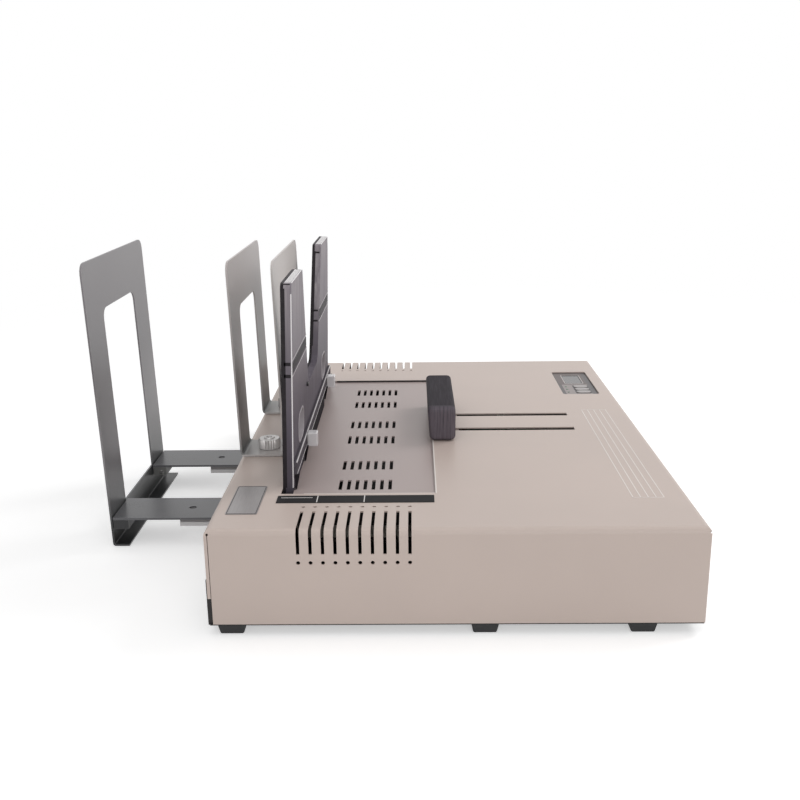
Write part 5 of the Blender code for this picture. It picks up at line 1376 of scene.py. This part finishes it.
@dataclass
class ControlPanel(SubAssembly):
    """Film, window, keys, lamps and board of the control panel."""

    step: float = 0.00006  # thickness of one layer of print
    near: float = 0.0997  # X at which the pale print starts
    split: float = 0.1405  # X at which it ends
    far: float = 0.1882  # X at which the grey print ends
    rear: float = 0.299  # distance of the panel's rear edge from the case's rear face
    front: float = 0.336  # distance of its front edge
    print_front: float = 0.3305  # distance at which both prints end
    lamp_share: float = 0.2  # where the lamps stand along the panel
    lamp: float = 0.0011  # radius of a lamp

    def __post_init__(self) -> None:
        """Look up the film's face, the keys and the window."""
        self.face = corners("panel_overlay")[1].z
        self.keys = [corners(f"button_{index}") for index in range(1, 4)]
        self.window = corners("display_window")

    def build(self) -> None:
        """Make and dress the panel's pieces."""
        self.dress(SHADE_FILM, "panel_overlay")
        self.dress(WINDOW, "display_window")
        self.dress(KEY, "button_1", "button_2", "button_3")
        self.dress(BOARD, "control_board")
        self._print()
        self._outlines()
        self._lamps()

    def _print(self) -> None:
        """Pale and grey areas of the film, round the keys and the window."""
        gap = 0.0012
        low_x = min(key[0].x for key in self.keys) - gap
        high_x = max(key[1].x for key in self.keys) + gap
        high_y, front_y = self.keys[0][1].y + gap, at(self.print_front)
        top = self.face + self.step
        pale = Shape()
        pale.box((self.near, high_y, self.face), (self.split, at(self.rear + 0.0045), top))
        pale.box((self.near, front_y, self.face), (low_x, high_y, top))
        pale.box((high_x, front_y, self.face), (self.split, high_y, top))
        self.add(pale, "panel_pale_print", PALE_FILM)
        outer = rounded((self.split, front_y), (self.far, at(self.rear + 0.0015)), 0.0008)
        inner = rounded(*self.window, 0.0006, 0.0002)
        grey = Shape().ring(outer, inner, self.step, level(self.face + self.step / 2))
        self.add(grey, "panel_grey_print", FILM)

    def _outlines(self) -> None:
        """Plain outlines round the window and the keys."""
        outer, inner = rounded(*self.window, 0.0022, 0.0013), rounded(*self.window, 0.0017, 0.0008)
        lines = Shape().ring(outer, inner, 2 * self.step, level(self.face + self.step))
        self.add(lines, "window_outline", INK)
        border = Shape()
        for low, high in self.keys:
            reach = (high.x - low.x) / 2 + 0.0004
            outer = rounded(low, high, reach + 0.0003, 0.0008)
            inner = rounded(low, high, reach, 0.0004)
            border.ring(outer, inner, 2 * self.step, level(self.face))
        self.add(border, "key_outlines", DARK_INK)

    def _lamps(self) -> None:
        """Small domed lamps in the film's holes."""
        y = at(self.rear + (self.front - self.rear) * self.lamp_share)
        dome = ((1.0, -0.0006), (1.0, 0.0), (0.8, 0.0003), (0.4, 0.00045))
        profile = [(self.lamp * share, height) for share, height in dome]
        profile.append((0.00005, 0.0005))
        shape = Shape()
        for low, high in self.keys:
            shape.turned(profile, ((low.x + high.x) / 2, y, self.face), 16)
        self.add(shape, "panel_lamps", LENS)


@dataclass
class PowerEntry(SubAssembly):
    """Inlet, fuse, switch and the supply inside."""

    def build(self) -> None:
        """Make and dress the pieces of the supply."""
        self.dress(BLACK, "mains_inlet", "switch_housing", "fuse_holder", "power_rocker")
        self.dress(BOARD, "power_board")
        self.dress(ZINC, "transformer")
        self._blades()
        self._mark()
        self._winding()
        self._leads()

    def _blades(self) -> None:
        """Three blades in the inlet, the middle one higher."""
        low, high = corners("mains_inlet")
        middle_x, middle_z = (low.x + high.x) / 2, (low.z + high.z) / 2
        pitch, rise, half_x, half_z = 0.007, 0.0018, 0.001, 0.002
        back, length = high.y - 0.0148, 0.009
        shape = Shape()
        for index in (-1, 0, 1):
            x, z = middle_x + index * pitch, middle_z + (-rise if index else rise)
            corner = (x + half_x, back + length, z + half_z)
            shape.box((x - half_x, back, z - half_z), corner)
        self.add(shape, "inlet_blades", STEEL, 0.0003)

    def _mark(self) -> None:
        """Plain mark on the rocker."""
        low, high = corners("power_rocker")
        x, y, z = low.x + 0.0035, high.y - 0.0012, (low.z + high.z) / 2
        half = 0.002
        shape = Shape().box((x, y - 0.0002, z - half), (x + 0.0005, y + 0.00015, z + half))
        self.add(shape, "rocker_mark", INK, body="rocker")

    def _winding(self) -> None:
        """Copper turns round the transformer's two ends."""
        low, high = corners("transformer")
        limb, length, proud = 0.0085, 0.009, 0.0003
        shape = Shape()
        for y in (low.y - proud, high.y + proud - length):
            corner = (high.x - limb, y + length, high.z - limb)
            shape.box((low.x + limb, y, low.z + limb), corner)
        self.add(shape, "transformer_turns", COPPER, 0.0012)

    def _leads(self) -> None:
        """Leads from the inlet to the supply board, and on to the heater."""
        inlet_low, inlet_high = corners("mains_inlet")
        board = corners("power_board")[1]
        plate_low, plate_high = corners("heater_element")
        floor, start_y, end_y = CASE_FOOT_Z + 0.004, inlet_low.y, board.y - 0.004
        rear_y, foot_z, end_z = plate_low.y, plate_low.z, board.z - 0.012
        for way, letter in ((-1, "a"), (1, "b")):
            x = (inlet_low.x + inlet_high.x) / 2 + way * 0.0035
            mains = (
                (x, start_y, 0.0260),
                (x, start_y - 0.012, 0.0240),
                (0.217 + way * 0.002, start_y - 0.040, floor + 0.006),
                (0.214 + way * 0.002, start_y - 0.110, floor),
                (0.165 + way * 0.004, board.y + 0.020, floor + 0.004),
                (0.160 + way * 0.004, end_y, end_z),
            )
            x = plate_high.x - 0.010 + way * 0.003
            heater = (
                (x, rear_y + 0.002, foot_z + 0.001),
                (x, rear_y - 0.012, foot_z),
                (x, rear_y - 0.034, foot_z - 0.006),
                (0.128 + way * 0.003, board.y + 0.014, 0.034),
                (0.126 + way * 0.003, end_y, end_z),
            )
            for name, points, radius in (("mains", mains, 0.0014), ("heater", heater, 0.0009)):
                material = self.finishes.get(RED_SLEEVE)
                self.place(wire(f"{name}_lead_{letter}", points, radius, material), RED_SLEEVE)


@dataclass
class Heater(SubAssembly):
    """Heating plate and what carries it, rods and cross members."""

    def build(self) -> None:
        """Dress the heater's nodes."""
        # Painted shade: the plate, shield and cross members take a dark sheet, as they lie in shade
        # inside the case.
        self.dress(INNER_SHADE, "heating_plate")
        self.dress(MICA, "heater_element")
        self.dress(INNER_SHADE, "heat_shield", "front_cross_member", "rear_cross_member")
        self.dress(CERAMIC, "ceramic_support_left", "ceramic_support_right")
        self.dress(BLACK, "thermostat")
        self.dress(STEEL, "guide_rod_left", "guide_rod_right")


# --- Light, floor and camera ----------------------------------------------


@dataclass
class Studio:
    """Floor, world, lamps and the photograph's camera."""

    eye: Point = (-0.86293, REAR_Y - 0.14706, 0.34874)  # where the camera stands, in metres
    yaw: float = -0.0161  # turn to the side in radians
    pitch: float = 0.2765  # tilt down in radians
    roll: float = -0.0123  # turn about the view in radians
    lens: float = 43.724  # focal length in millimetres
    sensor: float = 36.0  # width of the sensor in millimetres
    sky: float = 0.52  # strength of the light from all round
    lift: float = 0.45  # how much whiter the floor looks than it is lit
    reach: float = 6.0  # half the floor's width
    fade: tuple[float, float] = (0.55, 1.3)  # distances over which the floor turns plain white
    aim: Point = (0.0, 0.0, 0.08)  # what the lamps point at
    # Name, place, size and power of each lamp.
    lamps: tuple[tuple[str, Point, float, float], ...] = (
        ("key", (0.55, -1.35, 1.45), 0.9, 13.5),
        ("overhead", (-0.5, 0.2, 1.8), 1.6, 4.5),
        ("side", (-1.60, -0.30, 0.45), 1.2, 6.4),
    )

    def build(self) -> None:
        """Set up the camera, the floor and the light."""
        self._camera()
        self._floor()
        self._world()
        self._lamps()
        bpy.context.scene.view_settings.view_transform = "Standard"

    def _camera(self) -> None:
        """Camera solved from the photograph."""
        cos_pitch, sin_pitch = math.cos(self.pitch), math.sin(self.pitch)
        cos_yaw, sin_yaw = math.cos(self.yaw), math.sin(self.yaw)
        cos_roll, sin_roll = math.cos(self.roll), math.sin(self.roll)
        ahead = Vector((sin_yaw * cos_pitch, cos_yaw * cos_pitch, -sin_pitch))
        right = Vector((cos_yaw, -sin_yaw, 0.0))
        above = right.cross(ahead)
        side = cos_roll * right + sin_roll * above
        up = -sin_roll * right + cos_roll * above
        turned = [Vector((axis.y, -axis.x, axis.z)) for axis in (side, up, -ahead)]
        rotation = Matrix(turned).transposed().to_4x4()
        data = bpy.data.cameras.new("camera")
        data.lens = self.lens
        data.sensor_width = self.sensor
        data.clip_start = 0.01
        camera = linked("camera", data)
        camera.matrix_world = Matrix.Translation(self.eye) @ rotation
        bpy.context.scene.camera = camera

    def _floor(self) -> None:
        """Plain white floor that keeps the object's shadow."""
        reach = self.reach
        points = [(-reach, -reach, 0), (reach, -reach, 0), (reach, reach, 0), (-reach, reach, 0)]
        data = bpy.data.meshes.new("floor")
        data.from_pydata(points, [], [(0, 1, 2, 3)])
        graph = Graph.of_material("floor")
        bare = graph.out("ShaderNodeBsdfDiffuse", {"Color": (0.80, 0.80, 0.80)})
        lift = graph.light("ShaderNodeEmission", self.lift)
        white = graph.out("ShaderNodeAddShader", {0: bare, 1: lift})
        plain = graph.light("ShaderNodeEmission", 1.0)
        away = graph.position().length().ranged(*self.fade, 0.0, 1.0)
        faded = graph.mix_shaders(away, white, plain)
        graph.end(graph.mix_shaders(graph.seen(), bare, faded))
        data.materials.append(graph.owner)
        linked("floor", data)

    def _world(self) -> None:
        """Even soft light, white to the camera and in reflections."""
        world = bpy.data.worlds.new("studio")
        graph = Graph(world, "ShaderNodeOutputWorld")
        kind = "ShaderNodeBackground"
        soft, white = graph.light(kind, self.sky), graph.light(kind, 1.0)
        graph.end(graph.mix_shaders(graph.seen(), soft, white))
        bpy.context.scene.world = world

    def _lamps(self) -> None:
        """One large soft lamp in front and above, and weak ones overhead and at the side."""
        for name, place, size, power in self.lamps:
            data = bpy.data.lights.new(name, "AREA")
            data.size = size
            data.energy = power
            lamp = linked(name, data)
            lamp.location = place
            aim = Vector(self.aim) - Vector(place)
            lamp.rotation_euler = aim.to_track_quat("-Z", "Y").to_euler()


def main() -> None:
    """Build the scene."""
    logging.basicConfig(level=logging.INFO, format="%(message)s")
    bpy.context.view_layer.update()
    finishes = Finishes()
    for group in (Case, Carriage, CoolingRack, ControlPanel, PowerEntry, Heater):
        group(finishes).build()
    Studio().build()
    bpy.context.view_layer.update()


if __name__ == "__main__":
    main()
